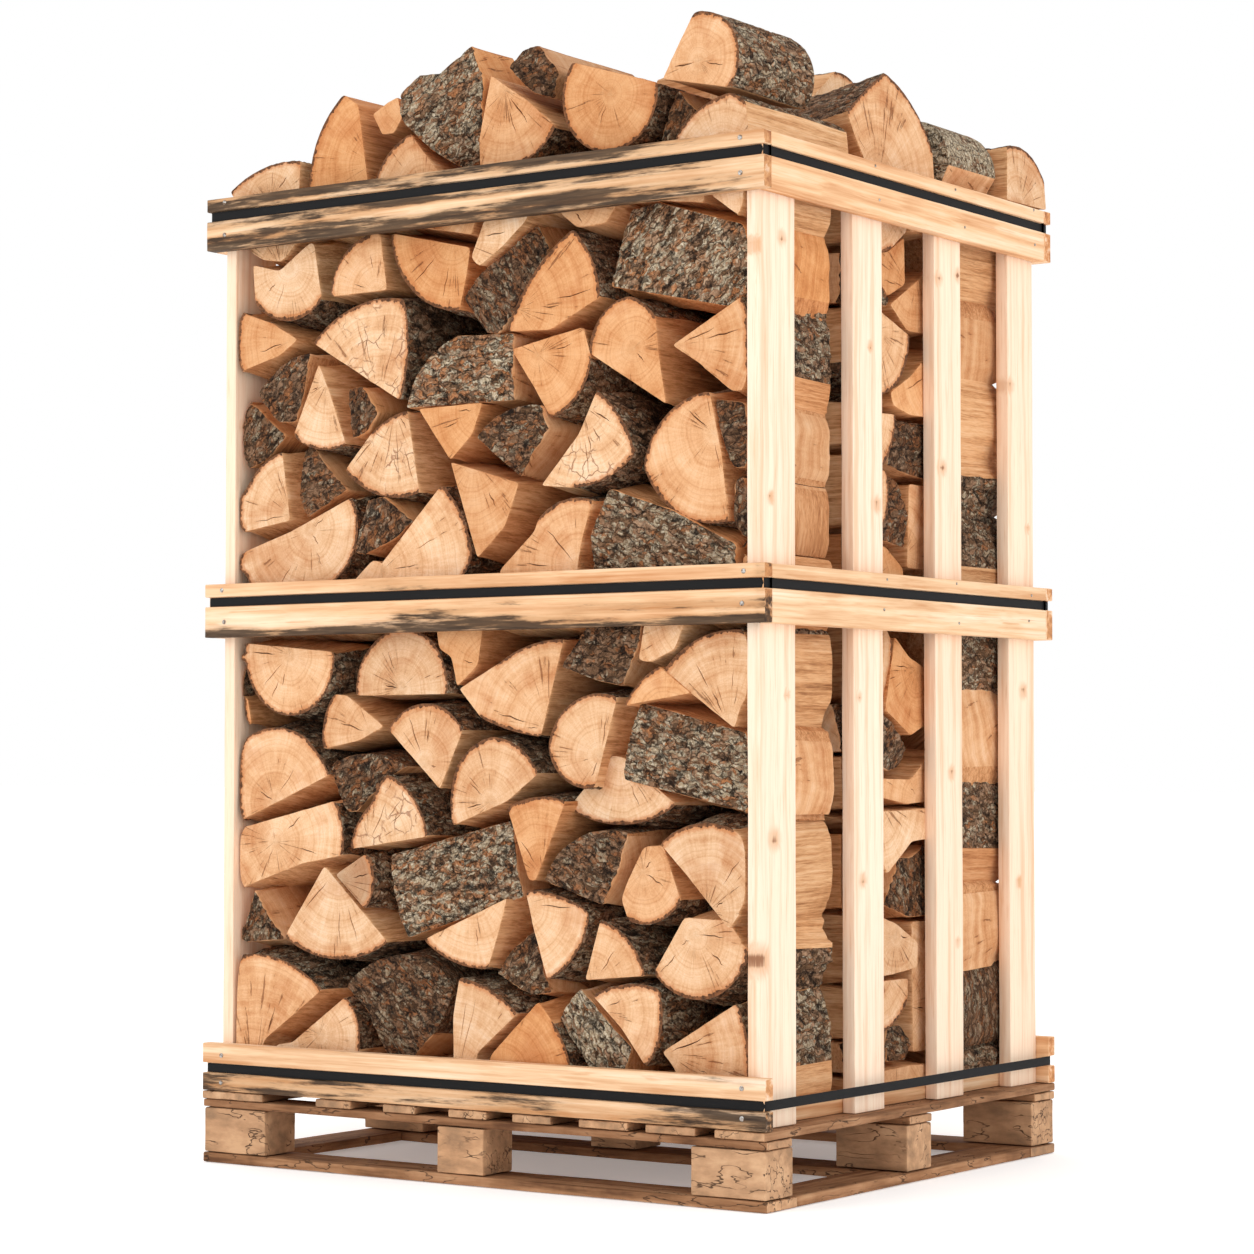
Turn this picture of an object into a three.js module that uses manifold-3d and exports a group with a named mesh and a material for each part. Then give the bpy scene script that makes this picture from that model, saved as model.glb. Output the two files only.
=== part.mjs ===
// A pallet crate of split firewood. A perimeter-base pallet carries eight upright slats and three
// hoops of rails with plastic straps. Three rows of split logs fill the crate, and loose logs are
// heaped on top. Units are millimetres, +Z is up, and the front is -Y. The origin is on the floor
// under the middle of the pallet.
import * as THREE from 'three';
import { mergeVertices } from 'three/addons/utils/BufferGeometryUtils.js';
import Module from 'manifold-3d';

const wasm = await Module();
wasm.setup();

// Driving dimensions
const WIDTH = 1200;
const DEPTH = 1000;
const GAP = 0.3;
const BOTTOM_BOARD = { height: 18, width: 95 };
const BLOCK = { width: 86, top: 98.8, inset: 3 };
// Each column of blocks: its left and right edge along X
const BLOCK_COLUMNS = { left: [-597, -455], centre: [-66, 32], right: [455, 597] };
const STRINGER = { bottom: 99.1, top: 113.8, width: 79, inset: 3 };
const DECK = { top: 128.5 };
// Each deck board: its left and right edge along X
const DECK_BOARDS = [
  [-600, -456], [-335, -254], [-183, -111], [-40, 43], [96, 178], [233, 333], [367, 467], [502, 600],
];
const RAIL_THICK = 25;
const SLAT_THICK = 24.7;
const SLAT_OUTER = WIDTH / 2 - RAIL_THICK - GAP;
const SLAT_TOP = 1740;
const SIDE_SKIRT_TOP = 166;
const HOOPS = {
  bottom: { low: DECK.top + GAP, high: 214, groove: 161 },
  middle: { low: 944, high: 1041, groove: 1000 },
  top: { low: 1648, high: 1743, groove: 1702 },
};
const GROOVE = { depth: 6, height: 17, corner: 5 };
const STRAP = { thick: 1.2, height: 16 };
// Each slat: its near and far edge along Y
const SLATS = [[-474.5, -363], [-178, -78], [103, 200], [375, 474.5]];

// The stack: three rows of logs, front and rear along Y and the middle one along X
const STACK = { halfWidth: 545, bottom: DECK.top + 2, top: 1742, face: 470, sideFace: 549 };
const RELIEF = 20;
const ROW_EDGES = { front: -192, middleNear: -188, middleFar: 168, rear: 172 };
const ARC_STEPS = 3;

const COLOURS = {
  pallet: 0x9c7650,
  pine: 0xe9cda6,
  stained: 0xb58f63,
  strap: 0x1d1b1c,
  cutWood: 0xdda877,
  bark: 0x6d6258,
};

function wood(colour) {
  return new THREE.MeshStandardMaterial({ color: colour, roughness: 0.8, metalness: 0 });
}

const strapPlastic = wood(COLOURS.strap);
strapPlastic.roughness = 0.4;
const crate = new THREE.Group();

function addMesh(name, geometry, material) {
  const mesh = new THREE.Mesh(geometry, material);
  mesh.name = name;
  crate.add(mesh);
  return mesh;
}

// A box given by its low and high corner
function cuboid(low, high) {
  const size = high.map((value, axis) => value - low[axis]);
  const geometry = new THREE.BoxGeometry(size[0], size[1], size[2]);
  geometry.translate((low[0] + high[0]) / 2, (low[1] + high[1]) / 2, (low[2] + high[2]) / 2);
  return geometry;
}

function toSolid(source) {
  const geometry = source.clone();
  geometry.deleteAttribute('normal');
  geometry.deleteAttribute('uv');
  const merged = mergeVertices(geometry);
  return new wasm.Manifold(new wasm.Mesh({
    numProp: 3,
    vertProperties: new Float32Array(merged.attributes.position.array),
    triVerts: new Uint32Array(merged.index.array),
  }));
}

function toGeometry(solid) {
  const mesh = solid.getMesh();
  const geometry = new THREE.BufferGeometry();
  geometry.setAttribute('position', new THREE.BufferAttribute(mesh.vertProperties, 3));
  geometry.setIndex(new THREE.BufferAttribute(mesh.triVerts, 1));
  geometry.computeVertexNormals();
  return geometry;
}

// Log outlines
// An outline lists its corners clockwise as [across, up, bulge]. The bulge is the height of the
// bark arc from that corner to the next, as a percentage of the straight distance.
function outlinePoints(corners) {
  const points = [];
  corners.forEach(([x1, y1, bulge], index) => {
    const [x2, y2] = corners[(index + 1) % corners.length];
    points.push(new THREE.Vector2(x1, y1));
    if (bulge === 0) return;
    const chord = Math.hypot(x2 - x1, y2 - y1);
    const rise = chord * bulge / 100;
    const radius = (chord * chord / 4 + rise * rise) / (2 * rise);
    const back = (radius - rise) / chord;
    const centreX = (x1 + x2) / 2 + (y2 - y1) * back;
    const centreY = (y1 + y2) / 2 - (x2 - x1) * back;
    const start = Math.atan2(y1 - centreY, x1 - centreX);
    let sweep = Math.atan2(y2 - centreY, x2 - centreX) - start;
    if (sweep > 0) sweep -= 2 * Math.PI;
    for (let step = 1; step < ARC_STEPS; step += 1) {
      const angle = start + sweep * step / ARC_STEPS;
      points.push(new THREE.Vector2(
        centreX + radius * Math.cos(angle), centreY + radius * Math.sin(angle),
      ));
    }
  });
  return points;
}

// A straight log with that outline, its axis along Z from 0 to length
function prism(corners, length) {
  const shape = new THREE.Shape(outlinePoints(corners));
  return new THREE.ExtrudeGeometry(shape, { depth: length, bevelEnabled: false });
}

// A log along Y: the outline's across is X and its up is Z
function prismAlongY(corners, near, far) {
  const geometry = prism(corners, far - near);
  geometry.rotateX(Math.PI / 2);
  geometry.translate(0, far, 0);
  return geometry;
}

// A log along X: the outline's across is Y and its up is Z
function prismAlongX(corners, near, far) {
  const geometry = prism(corners, far - near);
  geometry.applyMatrix4(new THREE.Matrix4().makeBasis(
    new THREE.Vector3(0, 1, 0), new THREE.Vector3(0, 0, 1), new THREE.Vector3(1, 0, 0),
  ));
  geometry.translate(near, 0, 0);
  return geometry;
}

// Log ends of the front row, as the front shows them
const FRONT_ENDS = [
  [[-546, 372, 12], [-350, 316, 0], [-478, 222, 0], [-500, 133, 0], [-548, 133, 0], [-549, 250, 0]],
  [[-425, 220, 0], [-298, 308, 14], [-268, 215, 0], [-275, 133, 0], [-490, 133, 0], [-462, 215, 0]],
  [[-296, 325, 12], [-155, 384, 12], [-64, 330, 8], [-100, 250, 0], [-150, 205, 0], [-215, 205, 0],
    [-250, 282, 0]],
  [[-262, 196, 0], [-62, 196, 0], [-60, 133, 0], [-262, 133, 0]],
  [[-38, 352, 8], [87, 294, 0], [0, 222, 0], [-5, 133, 0], [-52, 133, 0], [-52, 285, 0]],
  [[28, 222, 0], [134, 318, 0], [166, 282, 14], [190, 133, 0], [2, 133, 0]],
  [[160, 287, 0], [210, 343, 0], [310, 245, 0], [300, 200, 0], [235, 200, 0]],
  [[240, 331, 10], [373, 348, 14], [345, 215, 0], [298, 277, 0]],
  [[200, 190, 0], [390, 200, 0], [388, 133, 0], [200, 133, 0]],
  [[372, 243, 0], [522, 330, 9], [546, 215, 0], [548, 133, 0], [400, 133, 0], [398, 215, 0]],
  [[-541, 394, 0], [-530, 445, 0], [-514, 491, 0], [-445, 402, 0]],
  [[-441, 407, 0], [-350, 537, 0], [-204, 404, 15]],
  [[-316, 521, 0], [-247, 561, 20], [-246, 460, 0]],
  [[-207, 558, 0], [62, 622, 0], [85, 490, 0], [-172, 412, 0]],
  [[-127, 412, 0], [64, 490, 0], [40, 420, 0], [18, 366, 10]],
  [[28, 360, 0], [62, 402, 0], [110, 436, 0], [140, 330, 0], [102, 324, 0]],
  [[94, 503, 8], [228, 468, 14], [144, 350, 0], [112, 440, 0]],
  [[218, 354, 0], [250, 458, 14], [345, 366, 0]],
  [[355, 372, 0], [420, 466, 0], [508, 463, 0], [546, 415, 32]],
  [[-547, 490, 0], [-549, 600, 0], [-322, 652, 8], [-305, 554, 0], [-400, 538, 0]],
  [[-286, 565, 10], [-236, 648, 8], [-200, 700, 14], [-110, 590, 0]],
  [[60, 643, 10], [187, 655, 0], [120, 518, 0], [104, 518, 0]],
  [[133, 518, 8], [195, 588, 10], [303, 602, 0], [292, 545, 0], [255, 480, 0]],
  [[302, 520, 0], [336, 580, 0], [376, 583, 0], [410, 492, 18], [304, 455, 0], [290, 492, 0]],
  [[371, 585, 14], [520, 612, 0], [548, 592, 0], [548, 490, 0], [512, 447, 0], [430, 530, 0]],
  [[-547, 611, 1], [-540, 760, 14], [-400, 766, 6], [-342, 696, 0], [-450, 650, 0]],
  [[-346, 715, 12], [-165, 712, 0], [-205, 694, 0], [-282, 632, 0], [-302, 631, 0]],
  [[-352, 742, 12], [-331, 841, 0], [-300, 838, 0], [-213, 782, 0], [-270, 756, 0]],
  [[-208, 777, 27], [-35, 775, 0], [-84, 671, 0]],
  [[-532, 935, 0], [-315, 915, 57]],
  [[-545, 787, 3], [-545, 898, 0], [-534, 840, 0], [-524, 787, 0]],
  [[-282, 836, 56], [-71, 836, 0]],
  [[-100, 985, 0], [12, 985, 0], [-4, 886, 0], [-50, 848, 0], [-62, 900, 0], [-88, 915, 0]],
  [[-50, 846, 0], [35, 888, 8], [177, 928, 0], [125, 761, 4], [-2, 794, 0]],
  [[170, 880, 0], [215, 935, 0], [250, 985, 0], [345, 985, 0], [332, 915, 0], [292, 845, 0], [240, 856, 0]],
  [[331, 888, 0], [352, 985, 0], [445, 985, 0], [408, 905, 0], [358, 884, 0]],
  [[380, 870, 14], [548, 934, 0], [548, 850, 0], [522, 773, 0]],
  [[305, 812, 8], [374, 879, 0], [440, 832, 0]],
  [[146, 745, 24], [288, 829, 0], [240, 675, 22]],
  [[290, 690, 0], [325, 820, 0], [548, 765, 0], [548, 636, 0]],
  [[-55, 609, 8], [-50, 705, 12], [30, 764, 14], [128, 700, 0], [62, 652, 0]],
  [[182, 642, 0], [275, 732, 0], [296, 727, 0], [312, 683, 0], [405, 648, 14]],
  [[-548, 950, 0], [-548, 998, 0], [-300, 998, 0], [-300, 950, 0]],
  [[-290, 958, 0], [-280, 1000, 0], [-105, 1000, 0], [-105, 955, 0]],
  [[20, 948, 0], [20, 1000, 0], [240, 1000, 0], [232, 965, 0], [180, 945, 0]],
  [[455, 945, 0], [455, 1000, 0], [548, 1000, 0], [548, 945, 0]],
  [[-547, 1098, 0], [-430, 1134, 0], [-293, 1190, 24], [-350, 1030, 0], [-500, 1006, 6]],
  [[-545, 1134, 20], [-450, 1279, 0], [-431, 1152, 0]],
  [[-411, 1200, 0], [-405, 1283, 0], [-385, 1286, 0], [-300, 1202, 0], [-396, 1155, 0]],
  [[-311, 1237, 0], [-243, 1303, 6], [-160, 1336, 0], [-135, 1188, 14]],
  [[-280, 1090, 0], [-252, 1182, 0], [-210, 1186, 0], [-150, 1140, 0], [-188, 1110, 0], [-252, 1084, 0]],
  [[-223, 1062, 0], [-86, 1203, 9], [-20, 1075, 8], [-80, 1005, 0], [-200, 1005, 0]],
  [[-330, 1005, 0], [-242, 1076, 0], [-216, 1070, 0], [-205, 1005, 0]],
  [[-64, 1240, 0], [90, 1195, 0], [60, 1122, 0], [-2, 1068, 0]],
  [[-130, 1335, 0], [12, 1338, 0], [-12, 1284, 0], [-62, 1240, 0]],
  [[-6, 1278, 14], [128, 1327, 0], [148, 1285, 0], [82, 1205, 0]],
  [[135, 1187, 0], [212, 1272, 0], [248, 1345, 9], [327, 1232, 10], [205, 1180, 0]],
  [[42, 1048, 0], [118, 1112, 0], [126, 1132, 14], [243, 1160, 0], [218, 1090, 0], [200, 1005, 0],
    [42, 1005, 0]],
  [[236, 1100, 0], [272, 1178, 0], [400, 1135, 0], [525, 1075, 0], [525, 1010, 0], [240, 1010, 0]],
  [[336, 1212, 18], [472, 1329, 0], [495, 1222, 0], [507, 1112, 19]],
  [[478, 1316, 0], [548, 1305, 0], [548, 1200, 0], [512, 1200, 0], [500, 1235, 0]],
  [[513, 1112, 0], [514, 1178, 10], [548, 1185, 0], [548, 1066, 0]],
  [[530, 1005, 0], [532, 1060, 0], [548, 1058, 0], [548, 1005, 0]],
  [[-423, 1304, 0], [-361, 1432, 0], [-334, 1372, 0], [-300, 1282, 14]],
  [[-546, 1310, 0], [-549, 1376, 0], [-510, 1360, 0], [-446, 1305, 0], [-492, 1264, 0], [-532, 1250, 0]],
  [[-511, 1385, 12], [-386, 1453, 0], [-400, 1380, 0], [-428, 1331, 0], [-462, 1331, 0]],
  [[-548, 1424, 2], [-546, 1538, 0], [-470, 1512, 0], [-408, 1477, 0], [-450, 1450, 0]],
  [[-383, 1469, 13], [-172, 1533, 8], [-180, 1352, 0]],
  [[-296, 1380, 0], [-258, 1384, 0], [-225, 1336, 0], [-250, 1301, 0], [-280, 1290, 0]],
  [[-166, 1338, 12], [-60, 1460, 0], [68, 1455, 0], [70, 1338, 0]],
  [[60, 1427, 0], [215, 1455, 0], [230, 1400, 16], [141, 1303, 0], [106, 1360, 0]],
  [[225, 1408, 20], [310, 1500, 6], [362, 1462, 0], [368, 1400, 0], [384, 1311, 0]],
  [[395, 1409, 0], [533, 1483, 4], [547, 1365, 0], [548, 1325, 0], [512, 1325, 0], [448, 1376, 0]],
  [[57, 1456, 9], [200, 1621, 10], [256, 1500, 0], [150, 1452, 0]],
  [[-48, 1524, 0], [0, 1566, 0], [60, 1600, 0], [108, 1640, 0], [135, 1596, 0], [92, 1510, 0],
    [32, 1455, 0], [0, 1460, 0]],
  [[274, 1516, 0], [300, 1647, 0], [365, 1652, 0], [548, 1595, 0], [548, 1470, 0], [500, 1466, 0]],
  [[-516, 1552, 0], [-519, 1622, 0], [-458, 1606, 0], [-390, 1650, 0], [-377, 1650, 0], [-362, 1546, 24]],
  [[-338, 1548, 18], [-250, 1652, 0], [-221, 1652, 0], [-205, 1549, 0]],
  [[-203, 1652, 0], [-30, 1612, 0], [-38, 1560, 0], [-52, 1501, 20]],
  [[-20, 1590, 0], [28, 1700, 0], [112, 1700, 0], [103, 1645, 0], [50, 1603, 0], [0, 1572, 0]],
  [[168, 1650, 0], [165, 1742, 0], [295, 1742, 0], [285, 1650, 0], [265, 1624, 0], [205, 1622, 0]],
  [[-530, 1645, 0], [-540, 1742, 0], [-400, 1742, 0], [-405, 1665, 0], [-455, 1622, 0], [-500, 1628, 0]],
  [[478, 1650, 0], [470, 1742, 0], [548, 1742, 0], [548, 1610, 0], [530, 1612, 0]],
  [[-385, 1665, 0], [-390, 1742, 0], [-215, 1742, 0], [-220, 1660, 0]],
  [[-200, 1668, 0], [-205, 1742, 0], [-30, 1742, 0], [0, 1690, 0], [-20, 1630, 0]],
  [[-10, 1712, 0], [-20, 1742, 0], [155, 1742, 0], [155, 1660, 0], [120, 1660, 0], [115, 1712, 0]],
  [[305, 1660, 0], [310, 1742, 0], [455, 1742, 0], [460, 1640, 0]],
];

// Log ends of the middle row, as the right side shows them: across is Y
const SIDE_ENDS = [
  [[-160, 985, 0], [-40, 985, 0], [12, 930, 10], [-22, 818, 0], [-120, 830, 0]],
  [[-25, 810, 0], [0, 880, 0], [20, 940, 0], [70, 905, 0], [150, 880, 0], [140, 790, 0], [65, 765, 0]],
  [[-170, 735, 0], [-170, 820, 0], [-60, 815, 0], [0, 790, 0], [68, 745, 0], [60, 712, 0],
    [0, 703, 0], [-90, 740, 0]],
  [[-165, 640, 0], [-170, 730, 0], [-60, 732, 10], [-20, 705, 0], [-60, 640, 0]],
  [[-45, 660, 0], [-38, 692, 0], [72, 690, 0], [150, 745, 0], [150, 650, 0], [60, 645, 0]],
  [[-70, 590, 0], [-165, 625, 0], [-40, 635, 0], [70, 637, 0], [140, 640, 0], [130, 585, 0],
    [60, 580, 0], [-20, 525, 0]],
  [[-160, 470, 0], [-165, 600, 0], [-75, 583, 0], [-24, 520, 0], [-30, 480, 0]],
  [[0, 470, 0], [5, 500, 0], [30, 555, 0], [70, 552, 0], [140, 575, 0], [150, 450, 0], [70, 447, 0]],
  [[-150, 345, 0], [-150, 462, 0], [-60, 460, 0], [10, 440, 0], [78, 405, 0], [76, 360, 0], [0, 352, 0]],
  [[-160, 250, 0], [-150, 338, 0], [-50, 342, 0], [75, 342, 0], [70, 300, 10], [-60, 250, 0]],
  [[-20, 240, 0], [0, 262, 0], [50, 262, 0], [75, 225, 0], [60, 200, 0], [0, 200, 0]],
  [[-160, 192, 0], [-165, 245, 0], [-60, 245, 0], [-25, 235, 0], [-5, 200, 0]],
  [[-160, 133, 0], [-160, 186, 0], [60, 192, 0], [150, 188, 0], [150, 133, 0]],
  [[90, 210, 0], [85, 440, 0], [158, 440, 0], [158, 210, 0]],
  [[-75, 1600, 0], [-160, 1605, 0], [-160, 1700, 0], [60, 1700, 0], [62, 1655, 0], [0, 1615, 6]],
  [[-80, 1580, 0], [-75, 1598, 0], [0, 1612, 0], [58, 1645, 0], [62, 1560, 0], [0, 1532, 0],
    [-40, 1562, 0]],
  [[-170, 1500, 0], [-170, 1590, 0], [-80, 1576, 0], [-45, 1555, 0], [-4, 1528, 0], [-10, 1512, 0],
    [-80, 1512, 0]],
  [[-165, 1400, 0], [-165, 1495, 0], [-60, 1510, 0], [62, 1470, 22], [-60, 1355, 8]],
  [[10, 1520, 0], [62, 1550, 0], [150, 1600, 0], [155, 1480, 0], [66, 1478, 0]],
  [[0, 1340, 0], [-10, 1363, 0], [66, 1400, 0], [150, 1460, 0], [150, 1330, 0], [60, 1328, 0]],
  [[-165, 1260, 0], [-165, 1335, 0], [-70, 1325, 0], [20, 1327, 10], [-25, 1235, 0]],
  [[-15, 1236, 0], [25, 1322, 0], [62, 1318, 0], [150, 1320, 0], [150, 1220, 0], [62, 1225, 0]],
  [[-160, 1120, 0], [-165, 1245, 0], [-75, 1228, 0], [-20, 1225, 14], [-45, 1115, 0]],
  [[-40, 1105, 0], [-12, 1228, 0], [30, 1210, 0], [65, 1150, 0], [63, 1095, 0]],
  [[72, 1060, 0], [72, 1210, 0], [155, 1210, 0], [155, 1060, 0]],
  [[-160, 1000, 0], [-160, 1110, 0], [-50, 1098, 0], [0, 1095, 0], [62, 1060, 0], [65, 1000, 0]],
  [[72, 1655, 0], [72, 1742, 0], [155, 1742, 0], [155, 1655, 0]],
  [[-160, 1708, 0], [-160, 1742, 0], [62, 1742, 0], [62, 1708, 0]],
];

// Loose logs that stay on the rear-left of the stack
const REAR_MOUND = [
  [[-540, 1700, 0], [-530, 1800, 20], [-392, 1812, 0], [-388, 1700, 0]],
  [[-380, 1700, 0], [-372, 1832, 14], [-226, 1820, 0], [-216, 1700, 0]],
  [[-208, 1700, 0], [-196, 1812, 22], [-52, 1806, 0], [-40, 1700, 0]],
  [[-32, 1700, 0], [-20, 1838, 10], [128, 1826, 0], [140, 1700, 0]],
  [[150, 1700, 0], [154, 1800, 24], [230, 1796, 0], [238, 1700, 0]],
  [[-330, 1820, 0], [-270, 1905, 16], [-140, 1880, 0], [-120, 1800, 0]],
  [[-20, 1826, 0], [20, 1920, 16], [120, 1870, 0], [120, 1818, 0]],
];
const MIDDLE_MOUND = [
  [[-148, 1700, 0], [-140, 1830, 16], [-12, 1836, 0], [-4, 1700, 0]],
  [[4, 1700, 0], [12, 1840, 14], [136, 1832, 0], [150, 1700, 0]],
];
const MIDDLE_MOUND_END = 170;

// Loose logs heaped on top: name, outline, then near and far end
const HEAP_ALONG_Y = [
  ['heap_log_left', [[-583, 1762, 10], [-415, 1803, 0], [-418, 1744, 0], [-570, 1744, 0]], -455, -165],
  ['heap_log_tall_left', [[-400, 1760, 12], [-322, 1914, 0], [-285, 1890, 0], [-258, 1744, 0],
    [-395, 1744, 0]], -450, -155],
  ['heap_chip', [[-262, 1872, 0], [-225, 1890, 0], [-202, 1897, 0], [-192, 1858, 0], [-212, 1832, 0],
    [-240, 1832, 0]], -440, -250],
  ['heap_log_low_left', [[-248, 1744, 12], [-166, 1826, 0], [-95, 1744, 0]], -452, -155],
  ['heap_slab_of_bark', [[-195, 1900, 0], [-160, 1930, 0], [-100, 1925, 0], [-30, 1966, 0], [2, 1902, 0],
    [-14, 1800, 0], [-28, 1760, 0], [-55, 1750, 0], [-110, 1785, 0], [-184, 1850, 0]], -460, -330],
  ['heap_log_behind_slab', [[-150, 1870, 0], [-150, 1965, 0], [-125, 1985, 0], [-20, 1950, 0],
    [28, 1925, 0], [-2, 1905, 0], [-20, 1870, 0]], -325, -160],
  ['heap_wedge_middle', [[-14, 1744, 0], [-14, 1800, 0], [15, 1907, 0], [100, 1850, 0], [157, 1800, 10],
    [70, 1744, 0]], -455, -155],
  ['heap_log_dark_end', [[40, 1920, 0], [70, 1951, 0], [106, 1951, 0], [150, 1900, 0], [130, 1856, 0],
    [95, 1868, 0]], -445, -155],
  ['heap_half_log', [[190, 1908, 0], [364, 1853, 75]], -455, -195],
  ['heap_log_centre', [[-20, 1872, 0], [-5, 1935, 22], [110, 1930, 0], [125, 1872, 0]], -140, 150],
  ['heap_quarter_right', [[370, 1857, 0], [398, 1905, 0], [434, 1962, 34], [508, 1826, 0]], -455, -222],
  ['heap_log_shaded', [[345, 1744, 0], [362, 1800, 0], [382, 1846, 0], [424, 1800, 0], [380, 1744, 0]],
    -430, -195],
  ['heap_log_right', [[395, 1744, 0], [398, 1757, 5], [440, 1797, 5], [520, 1822, 3], [533, 1814, 0],
    [545, 1744, 0]], -455, -136],
  ['heap_bark_log_rear', [[400, 1815, 44], [572, 1785, 0], [545, 1744, 0], [400, 1744, 0]], 162, 338],
];
const HEAP_ALONG_X = [
  ['heap_log_inner', [[-188, 1744, 0], [-184, 1925, 0], [-130, 1948, 12], [-70, 1925, 0],
    [-60, 1744, 0]], 175, 292],
  ['heap_small_quarter', [[44, 1912, 0], [128, 1973, 8], [200, 1964, 0], [212, 1876, 0],
    [118, 1890, 0]], 135, 355],
  ['heap_wedge_right', [[-138, 1838, 2], [-13, 1926, 10], [143, 1810, 0], [148, 1744, 0],
    [-80, 1744, 0], [-120, 1804, 0]], 300, 545],
  ['heap_block_rear_right', [[345, 1745, 0], [352, 1846, 18], [486, 1798, 0], [488, 1745, 0]],
    420, 592],
];

// Pallet
function addBottomBoards() {
  const { height, width } = BOTTOM_BOARD;
  const halfX = WIDTH / 2;
  const edgeY = DEPTH / 2 - BLOCK.inset;
  const sideX = halfX - width - GAP;
  const boards = {
    front: [[-halfX, -edgeY], [halfX, -edgeY + width]],
    middle: [[-sideX + GAP, -width / 2], [sideX - GAP, width / 2]],
    rear: [[-halfX, edgeY - width], [halfX, edgeY]],
    left: [[-halfX, -edgeY + width + GAP], [-sideX, edgeY - width - GAP]],
    right: [[sideX, -edgeY + width + GAP], [halfX, edgeY - width - GAP]],
  };
  for (const [place, [low, high]] of Object.entries(boards)) {
    addMesh(`pallet_bottom_board_${place}`, cuboid([...low, 0], [...high, height]), wood(COLOURS.pallet));
  }
}

function addBlocks() {
  const { width, top, inset } = BLOCK;
  const bottom = BOTTOM_BOARD.height + GAP;
  const reach = DEPTH / 2 - inset - width / 2;
  const rows = { front: -reach, middle: 0, rear: reach };
  for (const [column, [left, right]] of Object.entries(BLOCK_COLUMNS)) {
    for (const [row, y] of Object.entries(rows)) {
      const block = cuboid([left, y - width / 2, bottom], [right, y + width / 2, top]);
      addMesh(`pallet_block_${row}_${column}`, block, wood(COLOURS.pallet));
    }
  }
}

function addDeck() {
  const reachY = DEPTH / 2 - STRINGER.inset - STRINGER.width / 2;
  let deck = null;
  const join = (geometry) => {
    const solid = toSolid(geometry);
    deck = deck ? deck.add(solid) : solid;
  };
  for (const y of [-reachY, 0, reachY]) {
    join(cuboid([-WIDTH / 2, y - STRINGER.width / 2, STRINGER.bottom],
      [WIDTH / 2, y + STRINGER.width / 2, STRINGER.top]));
  }
  for (const [left, right] of DECK_BOARDS) {
    join(cuboid([left, -DEPTH / 2, STRINGER.top], [right, DEPTH / 2, DECK.top]));
  }
  addMesh('pallet_deck', toGeometry(deck), wood(COLOURS.pallet));
}

// Rails, straps and slats
function roundedPlate(halfX, halfY, corner, low, high) {
  const shape = new THREE.Shape();
  shape.moveTo(halfX - corner, -halfY);
  shape.absarc(halfX - corner, -halfY + corner, corner, -Math.PI / 2, 0);
  shape.absarc(halfX - corner, halfY - corner, corner, 0, Math.PI / 2);
  shape.absarc(-halfX + corner, halfY - corner, corner, Math.PI / 2, Math.PI);
  shape.absarc(-halfX + corner, -halfY + corner, corner, Math.PI, Math.PI * 1.5);
  const plate = new THREE.ExtrudeGeometry(shape, {
    depth: high - low, bevelEnabled: false, curveSegments: 4,
  });
  plate.translate(0, 0, low);
  return toSolid(plate);
}

function addHoop(place, { low, high, groove }) {
  const halfX = WIDTH / 2;
  const halfY = DEPTH / 2;
  const seatX = halfX - GROOVE.depth;
  const seatY = halfY - GROOVE.depth;
  const around = toSolid(cuboid([-WIDTH, -DEPTH, groove], [WIDTH, DEPTH, groove + GROOVE.height]));
  const seat = roundedPlate(seatX, seatY, GROOVE.corner, groove - 1, groove + GROOVE.height + 1);
  const cutter = around.subtract(seat);
  const innerX = halfX - RAIL_THICK;
  const innerY = halfY - RAIL_THICK;
  const rails = {
    front: cuboid([-halfX, -halfY, low], [halfX, -innerY, high]),
    rear: cuboid([-halfX, innerY, low], [halfX, halfY, high]),
  };
  if (place !== 'bottom') {
    rails.left = cuboid([-halfX, -innerY + GAP, low], [-innerX, innerY - GAP, high]);
    rails.right = cuboid([innerX, -innerY + GAP, low], [halfX, innerY - GAP, high]);
  }
  for (const [side, rail] of Object.entries(rails)) {
    const colour = side === 'front' ? COLOURS.stained : COLOURS.pine;
    addMesh(`rail_${place}_${side}`, toGeometry(toSolid(rail).subtract(cutter)), wood(colour));
  }
  const strapLow = groove + (GROOVE.height - STRAP.height) / 2;
  const strapHigh = strapLow + STRAP.height;
  const outer = roundedPlate(seatX + GAP + STRAP.thick, seatY + GAP + STRAP.thick,
    GROOVE.corner + GAP + STRAP.thick, strapLow, strapHigh);
  const inner = roundedPlate(seatX + GAP, seatY + GAP, GROOVE.corner + GAP, strapLow - 1, strapHigh + 1);
  addMesh(`strap_${place}`, toGeometry(outer.subtract(inner)), strapPlastic);
}

function addSideSkirts() {
  const outer = SLAT_OUTER - SLAT_THICK - GAP;
  const reachY = DEPTH / 2 - RAIL_THICK - GAP;
  const { low } = HOOPS.bottom;
  for (const [side, sign] of [['left', -1], ['right', 1]]) {
    const middle = sign * (outer - RAIL_THICK / 2);
    const skirt = cuboid([middle - RAIL_THICK / 2, -reachY, low],
      [middle + RAIL_THICK / 2, reachY, SIDE_SKIRT_TOP]);
    addMesh(`rail_bottom_${side}`, skirt, wood(COLOURS.pine));
  }
}

function addSlats() {
  const low = DECK.top + GAP;
  for (const [side, sign] of [['left', -1], ['right', 1]]) {
    const middle = sign * (SLAT_OUTER - SLAT_THICK / 2);
    SLATS.forEach(([near, far], index) => {
      const slat = cuboid([middle - SLAT_THICK / 2, near, low], [middle + SLAT_THICK / 2, far, SLAT_TOP]);
      addMesh(`slat_${side}_${index + 1}`, slat, wood(COLOURS.pine));
    });
  }
}

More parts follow.
